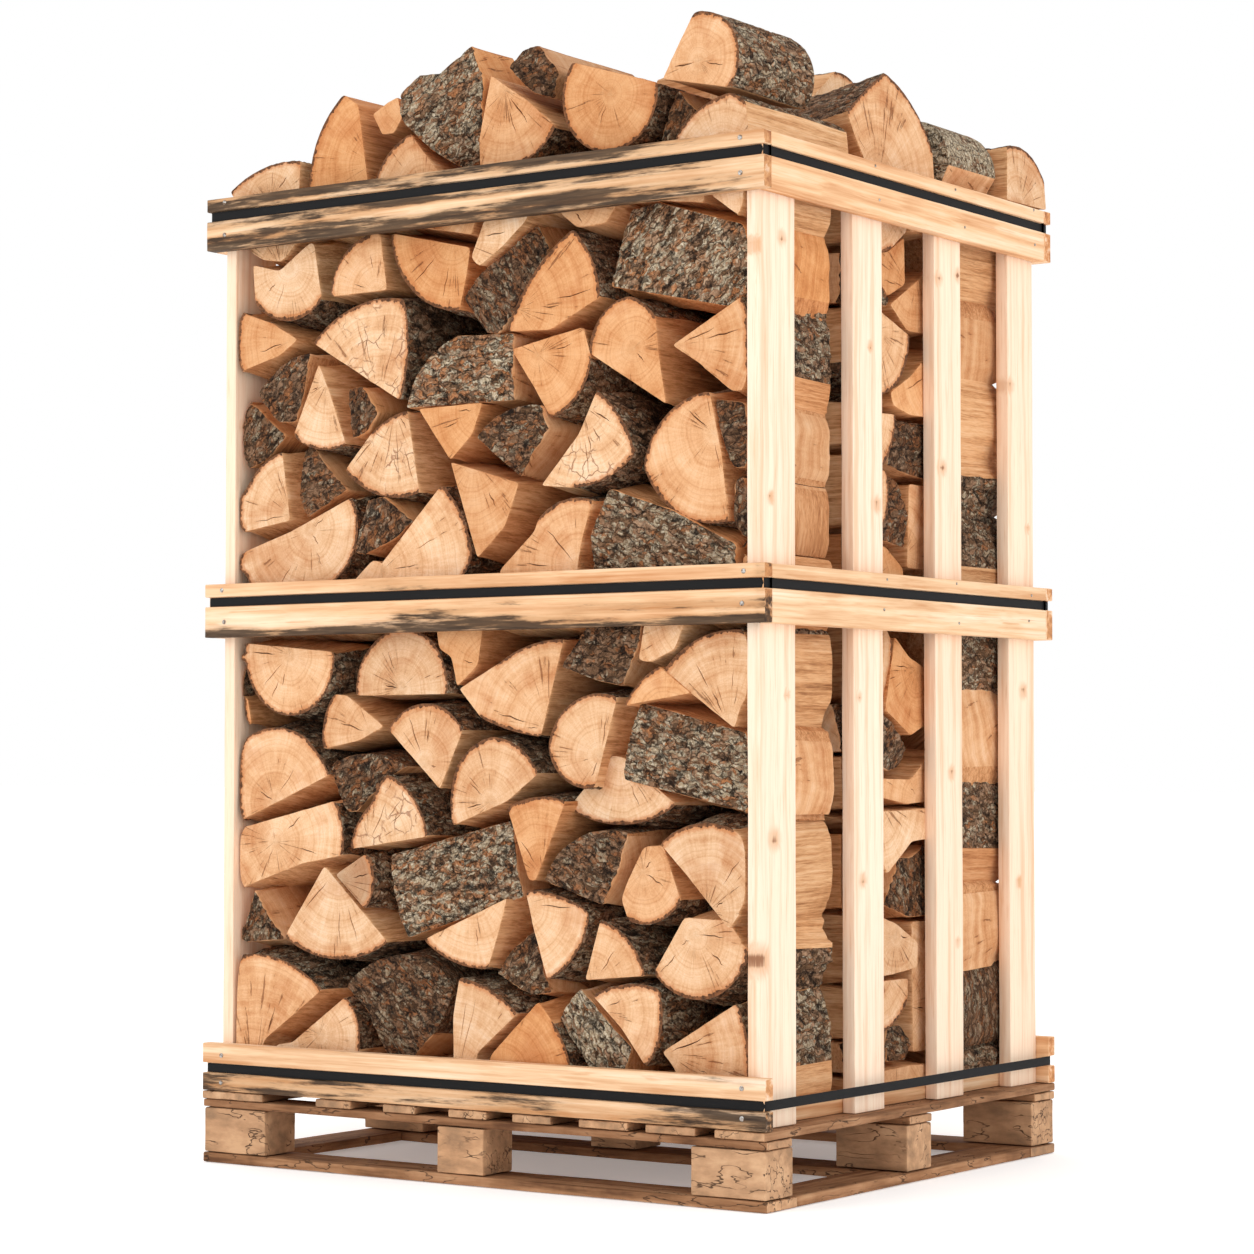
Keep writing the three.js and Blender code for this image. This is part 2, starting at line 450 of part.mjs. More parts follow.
// Stack rows
function rowBlock(near, far) {
  return toSolid(cuboid(
    [-STACK.halfWidth, near, STACK.bottom], [STACK.halfWidth, far, STACK.top - RELIEF],
  ));
}

// The room that the skirts take at the foot of each row
function clearOfSkirts(row) {
  const inner = SLAT_OUTER - SLAT_THICK - RAIL_THICK - 2 * GAP;
  let cleared = row;
  for (const sign of [-1, 1]) {
    const [low, high] = sign < 0 ? [-WIDTH, -inner] : [inner, WIDTH];
    cleared = cleared.subtract(toSolid(cuboid([low, -DEPTH, 0], [high, DEPTH, SIDE_SKIRT_TOP + 1])));
  }
  return cleared;
}

function joinAll(start, geometries) {
  return geometries.reduce((solid, geometry) => solid.add(toSolid(geometry)), start);
}

// The rear shows the same kinds of log end with its upper and lower half exchanged
function rearOutline(corners) {
  const [low, split, high] = [133, 1003, STACK.top];
  return corners.map(([x, z, bulge]) => {
    const upper = z > split;
    const share = upper ? (z - split) / (high - split) : (z - low) / (split - low);
    const height = upper ? low + share * (split - low) : split + share * (high - split);
    return [x, height, bulge];
  });
}

function addStack() {
  const { face, sideFace } = STACK;
  const front = joinAll(
    rowBlock(-face + RELIEF, ROW_EDGES.front),
    FRONT_ENDS.map((corners) => prismAlongY(corners, -face, ROW_EDGES.front)),
  );
  addMesh('stack_front_row', toGeometry(clearOfSkirts(front)), wood(COLOURS.cutWood));
  const rear = joinAll(rowBlock(ROW_EDGES.rear, face - RELIEF), [
    ...FRONT_ENDS.map((corners) => prismAlongY(rearOutline(corners), ROW_EDGES.rear, face)),
    ...REAR_MOUND.map((corners) => prismAlongY(corners, ROW_EDGES.rear, face)),
  ]);
  addMesh('stack_rear_row', toGeometry(clearOfSkirts(rear)), wood(COLOURS.cutWood));
  const middle = joinAll(rowBlock(ROW_EDGES.middleNear, ROW_EDGES.middleFar), [
    ...SIDE_ENDS.map((corners) => prismAlongX(corners, -sideFace, sideFace)),
    ...MIDDLE_MOUND.map((corners) => prismAlongX(corners, -STACK.halfWidth, MIDDLE_MOUND_END)),
  ]);
  addMesh('stack_middle_row', toGeometry(clearOfSkirts(middle)), wood(COLOURS.cutWood));
}

// Heap
function addHeap() {
  for (const [name, corners, near, far] of HEAP_ALONG_Y) {
    addMesh(name, prismAlongY(corners, near, far), wood(COLOURS.cutWood));
  }
  for (const [name, corners, near, far] of HEAP_ALONG_X) {
    addMesh(name, prismAlongX(corners, near, far), wood(COLOURS.bark));
  }
}

addBottomBoards();
addBlocks();
addDeck();
for (const [place, hoop] of Object.entries(HOOPS)) addHoop(place, hoop);
addSideSkirts();
addSlats();
addStack();
addHeap();

export default crate;
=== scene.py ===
import math
import random

import bmesh
import bpy
import numpy as np
from mathutils import Matrix, Vector, noise
from mathutils.geometry import delaunay_2d_cdt


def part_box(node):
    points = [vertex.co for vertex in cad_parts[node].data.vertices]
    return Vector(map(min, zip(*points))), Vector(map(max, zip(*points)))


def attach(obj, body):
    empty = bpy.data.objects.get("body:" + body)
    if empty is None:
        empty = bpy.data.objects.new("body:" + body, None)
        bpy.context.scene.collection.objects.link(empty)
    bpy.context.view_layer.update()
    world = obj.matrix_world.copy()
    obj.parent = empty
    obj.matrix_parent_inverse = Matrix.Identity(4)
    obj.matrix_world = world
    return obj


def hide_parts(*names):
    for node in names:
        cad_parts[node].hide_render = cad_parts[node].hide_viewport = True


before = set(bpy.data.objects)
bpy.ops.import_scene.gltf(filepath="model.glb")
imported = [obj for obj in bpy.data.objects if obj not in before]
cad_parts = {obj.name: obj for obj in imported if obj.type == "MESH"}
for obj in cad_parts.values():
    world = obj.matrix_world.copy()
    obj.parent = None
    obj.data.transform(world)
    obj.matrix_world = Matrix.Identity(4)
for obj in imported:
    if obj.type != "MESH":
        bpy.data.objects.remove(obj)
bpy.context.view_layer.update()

# ---- Pallet blocks ----
# Nine short blocks of rough brown softwood hold the pallet's boards apart. They are sawn off a
# beam, so their faces are mottled and checked, and nails through the boards hold them.
GRAIN = "grain"
TONE = "tone"
COAT = "coat"
# How high bark stands, 0 down in a fissure or a check: the log finishes paint shade where it is low
RELIEF = "relief"
RIM = "rim"
KNOT = "knot"
STAIN = "stain"
CHECKED = "checked"


def paint(red, green, blue):
    """A colour from its 0 to 255 display values."""
    shares = [channel / 255 for channel in (red, green, blue)]
    light = [s / 12.92 if s <= 0.04045 else ((s + 0.055) / 1.055) ** 2.4 for s in shares]
    return (*light, 1.0)


class Signal:
    """One shader socket, so that shading can be written as sums and products."""

    def __init__(self, finish, socket):
        self.finish = finish
        self.socket = socket

    def combine(self, operation, first, second):
        return self.finish.node("ShaderNodeMath", {"operation": operation}, {0: first, 1: second})

    def __add__(self, other):
        return self.combine("ADD", self, other)

    def __sub__(self, other):
        return self.combine("SUBTRACT", self, other)

    def __rsub__(self, other):
        return self.combine("SUBTRACT", other, self)

    def __mul__(self, other):
        return self.combine("MULTIPLY", self, other)

    __radd__ = __add__
    __rmul__ = __mul__


class Finish:
    """A procedural material with its shader, and the nodes that feed it."""

    def __init__(self, name, specular=0.3):
        self.material = bpy.data.materials.new(name)
        self.material.use_nodes = True
        self.tree = self.material.node_tree
        self.shader = self.tree.nodes["Principled BSDF"]
        self.shader.inputs["Specular IOR Level"].default_value = specular

    def node(self, kind, settings, sockets, output=0):
        """A node of that kind with its settings, then its sockets' values or links."""
        made = self.tree.nodes.new(kind)
        for name, value in settings.items():
            if name == "stops":
                stops = made.color_ramp.elements
                stops[0].position, stops[0].color = value[0]
                stops[1].position, stops[1].color = value[-1]
                for place, colour in value[1:-1]:
                    stops.new(place).color = colour
            else:
                setattr(made, name, value)
        for name, value in sockets.items():
            if isinstance(value, Signal):
                self.tree.links.new(value.socket, made.inputs[name])
            else:
                made.inputs[name].default_value = value
        return Signal(self, made.outputs[output])

    def note(self, name, output="Vector"):
        """What the mesh holds under that name, such as the way its grain runs."""
        return self.node("ShaderNodeAttribute", {"attribute_name": name}, {}, output)

    def split(self, vector):
        return [self.node("ShaderNodeSeparateXYZ", {}, {0: vector}, axis) for axis in range(3)]

    def stretch(self, vector, by):
        return self.node("ShaderNodeVectorMath", {"operation": "MULTIPLY"}, {0: vector, 1: by})

    def shift(self, vector, by):
        return self.node("ShaderNodeVectorMath", {"operation": "ADD"}, {0: vector, 1: by})

    def cloud(self, vector, scale, detail=3.0, roughness=0.55):
        """Soft random values from 0 to 1."""
        return self.node(
            "ShaderNodeTexNoise", {},
            {"Vector": vector, "Scale": scale, "Detail": detail, "Roughness": roughness},
        )

    def mottle(self, vector, scale):
        """Soft random vectors around zero."""
        colour = self.node("ShaderNodeTexNoise", {}, {"Vector": vector, "Scale": scale}, "Color")
        return self.shift(colour, (-0.5, -0.5, -0.5))

    def rings(self, radius, count):
        """Uneven bands, about that many to the metre."""
        return self.node(
            "ShaderNodeTexNoise", {"noise_dimensions": "1D"},
            {"W": radius * count, "Scale": 1.0, "Detail": 2.0, "Roughness": 0.55},
        )

    def ease(self, value, low, high):
        """0 below low, 1 above high, and a smooth step between."""
        return self.node(
            "ShaderNodeMapRange", {"interpolation_type": "SMOOTHSTEP"},
            {"Value": value, "From Min": low, "From Max": high},
        )

    def mix(self, share, first, second):
        return self.node(
            "ShaderNodeMix", {"data_type": "RGBA"}, {0: share, 6: first, 7: second}, 2
        )

    def tint(self, share, colour, by):
        """The colour multiplied by another, as far as the share goes."""
        return self.node(
            "ShaderNodeMix", {"data_type": "RGBA", "blend_type": "MULTIPLY"},
            {0: share, 6: colour, 7: by}, 2,
        )

    def ramp(self, value, *stops):
        return self.node("ShaderNodeValToRGB", {"stops": stops}, {0: value})

    def wear(self, colour, roughness, height, distance, strength=1.0):
        """Puts the colour, roughness and fine relief on the shader."""
        normal = self.node(
            "ShaderNodeBump", {}, {"Height": height, "Distance": distance, "Strength": strength}
        )
        for name, value in (("Base Color", colour), ("Roughness", roughness), ("Normal", normal)):
            self.tree.links.new(value.socket, self.shader.inputs[name])


class Stock:
    """The vertices, faces and surface notes of one piece, gathered before its mesh is made."""

    KINDS = {GRAIN: 3, TONE: 3, COAT: 3, RELIEF: 1, RIM: 1, KNOT: 1, STAIN: 1, CHECKED: 1}

    def __init__(self):
        self.points = []
        self.faces = []
        self.finish_of = []
        self.notes = {name: [] for name in self.KINDS}

    def add(self, point, **notes):
        self.points.append(point)
        for name, size in self.KINDS.items():
            self.notes[name].append(notes.get(name, (0.0, 0.0, 0.0) if size == 3 else 0.0))
        return len(self.points) - 1

    def face(self, corners, finish):
        self.faces.append(corners)
        self.finish_of.append(finish)

    def make(self, name, nodes, finishes, sharp=35):
        """The finished piece, riding with the crate in place of its plain solids."""
        mesh = bpy.data.meshes.new(name)
        mesh.from_pydata(self.points, [], self.faces)
        for note, size in self.KINDS.items():
            values = np.array(self.notes[note], dtype=np.float32)
            if not values.any():
                continue
            kind, field = ("FLOAT_VECTOR", "vector") if size == 3 else ("FLOAT", "value")
            mesh.attributes.new(note, kind, "POINT").data.foreach_set(field, values.ravel())
        for finish in finishes:
            mesh.materials.append(finish.material)
        mesh.polygons.foreach_set("material_index", self.finish_of)
        mesh.polygons.foreach_set("use_smooth", [True] * len(self.faces))
        mesh.validate()
        closed = bmesh.new()
        closed.from_mesh(mesh)
        open_edges = [edge for edge in closed.edges if edge.is_boundary]
        bmesh.ops.holes_fill(closed, edges=open_edges, sides=0)
        closed.to_mesh(mesh)
        closed.free()
        mesh.set_sharp_from_angle(angle=math.radians(sharp))
        piece = bpy.data.objects.new(name, mesh)
        bpy.context.scene.collection.objects.link(piece)
        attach(piece, "root")
        if nodes:
            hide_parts(*nodes)
        return piece


# How far a rounded corner's middle stands in from its point, as a share of its radius
CORNER_CUT = 0.29


def eased(corners, step):
    """Points round a section whose corners are (across, through, radius), anticlockwise."""
    marks = []
    count = len(corners)
    for index, (a, b, radius) in enumerate(corners):
        here = Vector((a, b))
        back = (Vector(corners[index - 1][:2]) - here).normalized()
        ahead_at = Vector(corners[(index + 1) % count][:2])
        ahead = (ahead_at - here).normalized()
        next_radius = corners[(index + 1) % count][2]
        if radius > 0:
            marks.append(here + back * radius)
            marks.append(here + (back + ahead) * radius * CORNER_CUT)
            start = here + ahead * radius
        else:
            start = here
        marks.append(start)
        end = ahead_at - ahead * next_radius
        run = (end - start).length
        pieces = max(1, round(run / step))
        for part in range(1, pieces):
            marks.append(start.lerp(end, part / pieces))
    return marks


def saw(stock, corners, start, end, axes, seed, step=0.012, wave=0.0005, knots=(), stain=None):
    """A sawn board with that section, from start to end along its length.

    axes are the world axes of the section's across and through and of the length.
    """
    rng = random.Random(seed)
    away = Vector([rng.uniform(-9, 9) for _ in range(3)])
    tone = tuple(rng.random() for _ in range(3))
    marks = eased(corners, step * 0.75)
    count = len(marks)
    normals = []
    for index, mark in enumerate(marks):
        along = (marks[(index + 1) % count] - marks[index - 1]).normalized()
        normals.append(Vector((along.y, -along.x)))
    pieces = max(2, round((end - start) / step))
    lip = min(0.0012, (end - start) / 8)
    body = end - start - 2 * lip
    places = [start, *(start + lip + body * part / pieces for part in range(pieces + 1)), end]
    rings = []
    for order, place in enumerate(places):
        ring = []
        tip = order in (0, len(places) - 1)
        for mark, normal in zip(marks, normals):
            spot = Vector((mark.x * 22, mark.y * 22, place * 7)) + away
            push = wave * noise.noise(spot) + wave * 0.4 * noise.noise(spot * 4.0) - wave
            out = mark + normal * (push - (lip if tip else 0))
            where = [0.0, 0.0, 0.0]
            where[axes[0]] = out.x
            where[axes[1]] = out.y
            where[axes[2]] = place
            near = min(
                (math.dist((out.x, place), knot[:2]) / knot[2] for knot in knots), default=9.0
            )
            ring.append(stock.add(
                tuple(where),
                grain=(place + away.x, out.x + away.y, out.y + away.z),
                tone=tone,
                knot=min(near, 9.0),
                stain=stain(where) if stain else 0.0,
            ))
        rings.append(ring)
    handed = Matrix([[float(axes[k] == axis) for k in range(3)] for axis in range(3)]).determinant()
    turn = (lambda face: face) if handed > 0 else (lambda face: face[::-1])
    for lower, upper in zip(rings, rings[1:]):
        for index in range(count):
            after = (index + 1) % count
            stock.face(turn((lower[index], lower[after], upper[after], upper[index])), 0)
    stock.face(turn(tuple(reversed(rings[0]))), 1)
    stock.face(turn(tuple(rings[-1])), 1)

def plank(low, high, length_axis, radius):
    """The section corners, ends and axes of a plain board between two corners."""
    across, through = [axis for axis in range(3) if axis != length_axis]
    corners = [
        (low[across], low[through], radius), (high[across], low[through], radius),
        (high[across], high[through], radius), (low[across], high[through], radius),
    ]
    return corners, low[length_axis], high[length_axis], (across, through, length_axis)


def old_wood(name, end):
    """Weathered brown pallet wood: streaks, dark checks, and dirt in patches."""
    finish = Finish(name, 0.2)
    grain = finish.note(GRAIN)
    light, warmth, _ = finish.split(finish.note(TONE))
    along = (14, 40, 40) if end else (4, 60, 60)
    streaks = finish.cloud(finish.stretch(grain, along), 1.0, 5.0, 0.62)
    patches = finish.cloud(grain, 11.0, 4.0, 0.6)
    checks = finish.cloud(finish.stretch(grain, (9, 34, 34)), 1.4, 3.0, 0.5)
    near = finish.node("ShaderNodeMath", {"operation": "ABSOLUTE"}, {0: checks - 0.47})
    gap = (1 - finish.ease(near, 0.003, 0.016)) * finish.ease(patches, 0.46, 0.58)
    colour = finish.ramp(
        streaks + (patches - 0.5) * (0.8 if end else 0.5),
        (0.3, paint(112, 76, 50)), (0.46, paint(168, 124, 88)), (0.58, paint(196, 150, 112)),
        (0.74, paint(222, 180, 140)),
    )
    colour = finish.tint(light * 0.45, colour, paint(188, 176, 168))
    colour = finish.tint(warmth * 0.4, colour, paint(226, 196, 160))
    if end:
        colour = finish.mix(0.3, colour, paint(222, 184, 146))
    else:
        colour = finish.mix(0.22, colour, paint(88, 60, 42))
    colour = finish.mix(gap * 0.85, colour, paint(58, 38, 26))
    height = streaks * 0.6 - gap * 1.0
    finish.wear(colour, 0.72 + streaks * 0.2, height, 0.0016)
    return finish


pallet_side = old_wood("pallet_wood", False)
pallet_end = old_wood("pallet_wood_end", True)
for row in ("front", "middle", "rear"):
    for column in ("left", "centre", "right"):
        node = f"pallet_block_{row}_{column}"
        stock = Stock()
        saw(stock, *plank(*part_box(node), 0, 0.004), seed=node, step=0.007, wave=0.0011)
        stock.make(f"{node}_wood", [node], [pallet_end, pallet_end])


# ---- Pallet boards ----
# Five boards run round and across under the blocks, and three stringers lie on top of the
# blocks. Eight deck boards are nailed across the stringers. All are rough-sawn softwood.
for place in ("front", "middle", "rear", "left", "right"):
    node = f"pallet_bottom_board_{place}"
    stock = Stock()
    length_axis = 1 if place in ("left", "right") else 0
    saw(stock, *plank(*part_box(node), length_axis, 0.003), seed=node, wave=0.0007)
    stock.make(f"{node}_wood", [node], [pallet_side, pallet_end])

DECK_LOW, DECK_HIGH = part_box("pallet_deck")
DECK_SEAM = 0.1138
STRINGER_WIDTH = 0.079
STRINGER_REACH = 0.4575
# Each deck board: its left and right edge, in mm
DECK_BOARDS = (
    (-600, -456), (-335, -254), (-183, -111), (-40, 43), (96, 178), (233, 333), (367, 467),
    (502, 600),
)
deck = Stock()
for reach in (-STRINGER_REACH, 0, STRINGER_REACH):
    low = (DECK_LOW.x, reach - STRINGER_WIDTH / 2, DECK_LOW.z)
    high = (DECK_HIGH.x, reach + STRINGER_WIDTH / 2, DECK_SEAM - 0.0001)
    saw(deck, *plank(low, high, 0, 0.003), seed=f"stringer {reach}", step=0.018, wave=0.0006)
for board, (left, right) in enumerate(DECK_BOARDS):
    low = (left / 1000, DECK_LOW.y, DECK_SEAM)
    high = (right / 1000, DECK_HIGH.y, DECK_HIGH.z)
    saw(deck, *plank(low, high, 1, 0.003), seed=f"deck {board}", step=0.018, wave=0.0006)
deck.make("pallet_deck_boards", ["pallet_deck"], [pallet_side, pallet_end])


# ---- Rails ----
# Three hoops of sawn pine rails hold the crate together: one 25 mm board a side, grooved round
# the outside for a strap and nailed to the slats. The front rails are stained with age.
GROOVES = {"bottom": 0.161, "middle": 1.0, "top": 1.702}
GROOVE_HEIGHT = 0.017
GROOVE_DEPTH = 0.006
RAIL_EDGE = 0.0022
OVERLAP = 0.001


def pine(name, fresh, deep, end=False):
    """Sawn pine: fine lengthwise grain, knots, and dark weather stains where they are noted."""
    finish = Finish(name, 0.25)
    grain = finish.note(GRAIN)
    knot = finish.note(KNOT, "Fac")
    light, warmth, _ = finish.split(finish.note(TONE))
    halo = 1 - finish.ease(knot, 0.6, 2.6)
    bend = finish.cloud(grain, 5.0, 2.0) * 0.02 + halo * 0.012
    length, across, through = finish.split(grain)
    bent = finish.node(
        "ShaderNodeCombineXYZ", {},
        {0: length * (30 if end else 1.6), 1: (across + bend) * 62, 2: through * 62},
    )
    lines = finish.cloud(bent, 1.0, 4.0, 0.6)
    fibres = finish.cloud(finish.stretch(grain, (14, 420, 420)), 1.0, 2.0, 0.5)
    blotches = finish.cloud(finish.stretch(grain, (1.5, 7, 7)), 1.0, 3.0)
    colour = finish.ramp(lines + (blotches - 0.5) * 0.35, (0.3, deep), (0.52, fresh),
                         (0.75, paint(255, 238, 216)))
    vein = finish.ease(finish.cloud(finish.stretch(bent, (0.6, 2.2, 2.2)), 1.0, 3.0), 0.58, 0.68)
    colour = finish.mix(vein * 0.4, colour, deep)
    colour = finish.tint(light * 0.5, colour, paint(246, 228, 206))
    colour = finish.tint(warmth * 0.35, colour, paint(250, 222, 196))
    colour = finish.tint(finish.ease(fibres, 0.55, 0.75) * 0.35, colour, paint(222, 188, 150))
    colour = finish.mix(halo * 0.55, colour, paint(206, 146, 92))
    colour = finish.mix((1 - finish.ease(knot + fibres * 0.5, 0.7, 1.15)) * 0.8, colour,
                        paint(126, 70, 36))
    stain = finish.note(STAIN, "Fac")
    smoke = finish.cloud(finish.stretch(grain, (5, 38, 38)), 1.0, 6.0, 0.68)
    threads = finish.cloud(finish.stretch(grain, (9, 130, 130)), 1.0, 4.0, 0.62)
    soot = finish.ease(stain + (smoke - 0.5) * 1.9 + (threads - 0.5) * 1.3, 0.5, 0.9)
    haze = finish.ease(stain + (smoke - 0.5) * 1.2, 0.05, 0.75)
    colour = finish.mix(haze * 0.55, colour, paint(174, 124, 76))
    colour = finish.mix(soot * (0.62 + threads * 0.5), colour, paint(40, 28, 20))
    finish.wear(colour, 0.62 + lines * 0.2, lines * 0.5 + fibres * 0.3, 0.0007, 0.8)
    return finish


def streak(height, low, high, soft=0.006):
    """1 inside a band of heights, falling to 0 over the soft edge."""
    if height < low:
        return max(0.0, 1 - (low - height) / soft)
    if height > high:
        return max(0.0, 1 - (height - high) / soft)
    return 1.0


def wander(x, at, rate, reach):
    """A slow drift along the crate, the same on every run."""
    return reach * noise.noise(Vector((x * rate, at, 0.5)))


def top_rail_stain(where):
    x, _, z = where
    fade = 0.35 + 0.65 * min(1.0, max(0.0, (0.56 - x) / 0.25))
    upper = streak(z, 1.724 + wander(x, 1, 3, 0.012), 1.75, 0.012) * 0.8
    lip = streak(z, 1.718, 1.7235, 0.004) * 0.5
    lower = streak(z, 1.64, 1.668 + wander(x, 3, 4, 0.014), 0.012) * 0.95
    under = streak(z, 1.690 + wander(x, 5, 5, 0.01), 1.704, 0.006) * 0.85
    return max(upper, lip, lower, under, 0.26 + wander(x, 19, 6, 0.4)) * fade


def middle_rail_stain(where):
    x, _, z = where
    lower = streak(z, 0.94, 0.957 + wander(x, 7, 4, 0.012), 0.01) * 0.9
    belly = streak(z, 0.972 + wander(x, 9, 3, 0.012), 0.984 + wander(x, 9, 3, 0.012), 0.008)
    belly *= max(0.0, 0.62 + wander(x, 11, 4, 0.9))
    upper = streak(z, 1.02, 1.026, 0.006) * max(0.0, 0.3 + wander(x, 13, 5, 0.8))
    end = streak(-x, -0.61, -0.585, 0.012) * 0.4
    return max(lower, belly, upper, end, 0.14 + wander(x, 21, 6, 0.3))


def bottom_rail_stain(where):
    x, _, z = where
    lower = streak(z, 0.12, 0.1605, 0.001) * max(0.3, min(0.8, 0.52 + wander(x, 15, 4, 0.7)))
    upper = streak(z, 0.205, 0.214, 0.006) * max(0.0, 0.1 + wander(x, 17, 3, 0.5))
    return max(lower, upper)


STAINS = {"bottom": bottom_rail_stain, "middle": middle_rail_stain, "top": top_rail_stain}
rail_pine = pine("rail_pine", paint(240, 206, 168), paint(206, 152, 106))
rail_end = pine("rail_pine_end", paint(214, 158, 108), paint(160, 104, 66), end=True)
for place, groove in GROOVES.items():
    groove_top = groove + GROOVE_HEIGHT
    for side, out in (("front", -1), ("rear", 1)):
        node = f"rail_{place}_{side}"
        low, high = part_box(node)
        inner, outer = (high.y, low.y) if out < 0 else (low.y, high.y)
        seat = outer - out * GROOVE_DEPTH
        core_back = inner + out * 0.0002
        strips = (
            (low.x, high.x, outer, inner, groove_top, high.z, 0, RAIL_EDGE),
            (low.x, high.x, outer, inner, low.z, groove, RAIL_EDGE, 0),
            (low.x + GROOVE_DEPTH, high.x - GROOVE_DEPTH, seat, core_back,
             groove - OVERLAP, groove_top + OVERLAP, 0, 0),
        )
        stock = Stock()
        for left, right, face, back, floor, top, round_low, round_high in strips:
            front_round = RAIL_EDGE if face == outer else 0
            section = [(face, floor, front_round), (back, floor, round_low),
                       (back, top, round_high), (face, top, front_round)]
            if out > 0:
                section = section[::-1]
            stain = STAINS[place] if out < 0 else None
            saw(stock, section, left, right, (1, 2, 0), seed=node, stain=stain)
        stock.make(f"{node}_board", [node], [rail_pine, rail_end])

for place, groove in (("middle", GROOVES["middle"]), ("top", GROOVES["top"])):
    groove_top = groove + GROOVE_HEIGHT
    for side, out in (("left", -1), ("right", 1)):
        node = f"rail_{place}_{side}"
        low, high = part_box(node)
        inner, outer = (high.x, low.x) if out < 0 else (low.x, high.x)
        seat = outer - out * GROOVE_DEPTH
        section = [(inner, low.z, RAIL_EDGE), (outer, low.z, RAIL_EDGE), (outer, groove, 0.001),
                   (seat, groove, 0), (seat, groove_top, 0), (outer, groove_top, 0.001),
                   (outer, high.z, RAIL_EDGE), (inner, high.z, RAIL_EDGE)]
        if out < 0:
            section = section[::-1]
        stock = Stock()
        saw(stock, section, low.y, high.y, (0, 2, 1), seed=node)
        stock.make(f"{node}_board", [node], [rail_pine, rail_end])

for side in ("left", "right"):
    node = f"rail_bottom_{side}"
    stock = Stock()
    saw(stock, *plank(*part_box(node), 1, RAIL_EDGE), seed=node)
    stock.make(f"{node}_board", [node], [rail_pine, rail_end])


# ---- Slats ----
# Four upright pine slats a side stand inside the rails on the deck. They are sawn 25 mm boards
# with a few small knots, nailed to each hoop.
# Each slat's knots: their place along Y and Z, and their radius
SLAT_KNOTS = {
    "slat_right_1": (
        (-0.48, 1.56, 0.009), (-0.405, 1.58, 0.008), (-0.43, 0.595, 0.011), (-0.47, 0.40, 0.015),
        (-0.44, 1.15, 0.007), (-0.39, 0.83, 0.006),
    ),
    "slat_right_2": (
        (-0.10, 1.16, 0.009), (-0.15, 0.52, 0.008), (-0.12, 1.43, 0.006), (-0.16, 0.83, 0.006),
    ),
    "slat_right_3": (
        (0.19, 1.59, 0.008), (0.12, 1.575, 0.008), (0.13, 1.24, 0.009), (0.16, 0.7, 0.008),
        (0.18, 0.4, 0.006),
    ),
    "slat_right_4": (
        (0.385, 1.41, 0.009), (0.43, 0.85, 0.009), (0.41, 0.5, 0.007), (0.45, 1.15, 0.006),
    ),
    "slat_left_1": ((-0.42, 0.74, 0.01), (-0.45, 1.33, 0.008), (-0.4, 1.1, 0.006)),
    "slat_left_2": ((-0.12, 0.45, 0.009), (-0.15, 1.5, 0.008)),
    "slat_left_3": ((0.15, 0.83, 0.01), (0.12, 1.44, 0.008)),
    "slat_left_4": ((0.42, 0.36, 0.009), (0.45, 1.24, 0.009)),
}
SLAT_EDGE = 0.002
slat_pine = pine("slat_pine", paint(253, 232, 211), paint(238, 202, 170))
slat_end = pine("slat_pine_end", paint(226, 180, 132), paint(180, 126, 84), end=True)
for node, knots in SLAT_KNOTS.items():
    low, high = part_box(node)
    section = [(low.y, low.x, SLAT_EDGE), (high.y, low.x, SLAT_EDGE),
               (high.y, high.x, SLAT_EDGE), (low.y, high.x, SLAT_EDGE)]
    stock = Stock()
    saw(stock, section, low.z, high.z, (1, 0, 2), seed=node, step=0.0125, wave=0.0006, knots=knots)
    stock.make(f"{node}_board", [node], [slat_pine, slat_end])


# ---- Straps ----
# Three black plastic packing straps lie in the rails' grooves, drawn tight round the crate and
# round its corners. Each is a flat band a little over 1 mm thick, crowned and faintly ribbed.
STRAP_HEIGHT = 0.016
STRAP_THICK = 0.0012
STRAP_BEND = 0.006


def strap_route(reach_x, reach_y, bend, step=0.02):
    """Points round a tight strap with their outward directions, seen from above."""
    route = []
    corners = ((1, -1), (1, 1), (-1, 1), (-1, -1))
    for index, (sx, sy) in enumerate(corners):
        centre = Vector((sx * (reach_x - bend), sy * (reach_y - bend)))
        start = math.atan2(sy, sx) - math.pi / 4
        for part in range(7):
            angle = start + part * math.pi / 12
            out = Vector((math.cos(angle), math.sin(angle)))
            route.append((centre + out * bend, out))
        nx, ny = corners[(index + 1) % 4]
        last, out = route[-1]
        ahead = Vector((nx * (reach_x - bend), ny * (reach_y - bend))) + out * bend
        pieces = round((ahead - last).length / step)
        route += [(last.lerp(ahead, part / pieces), out) for part in range(1, pieces)]
    return route


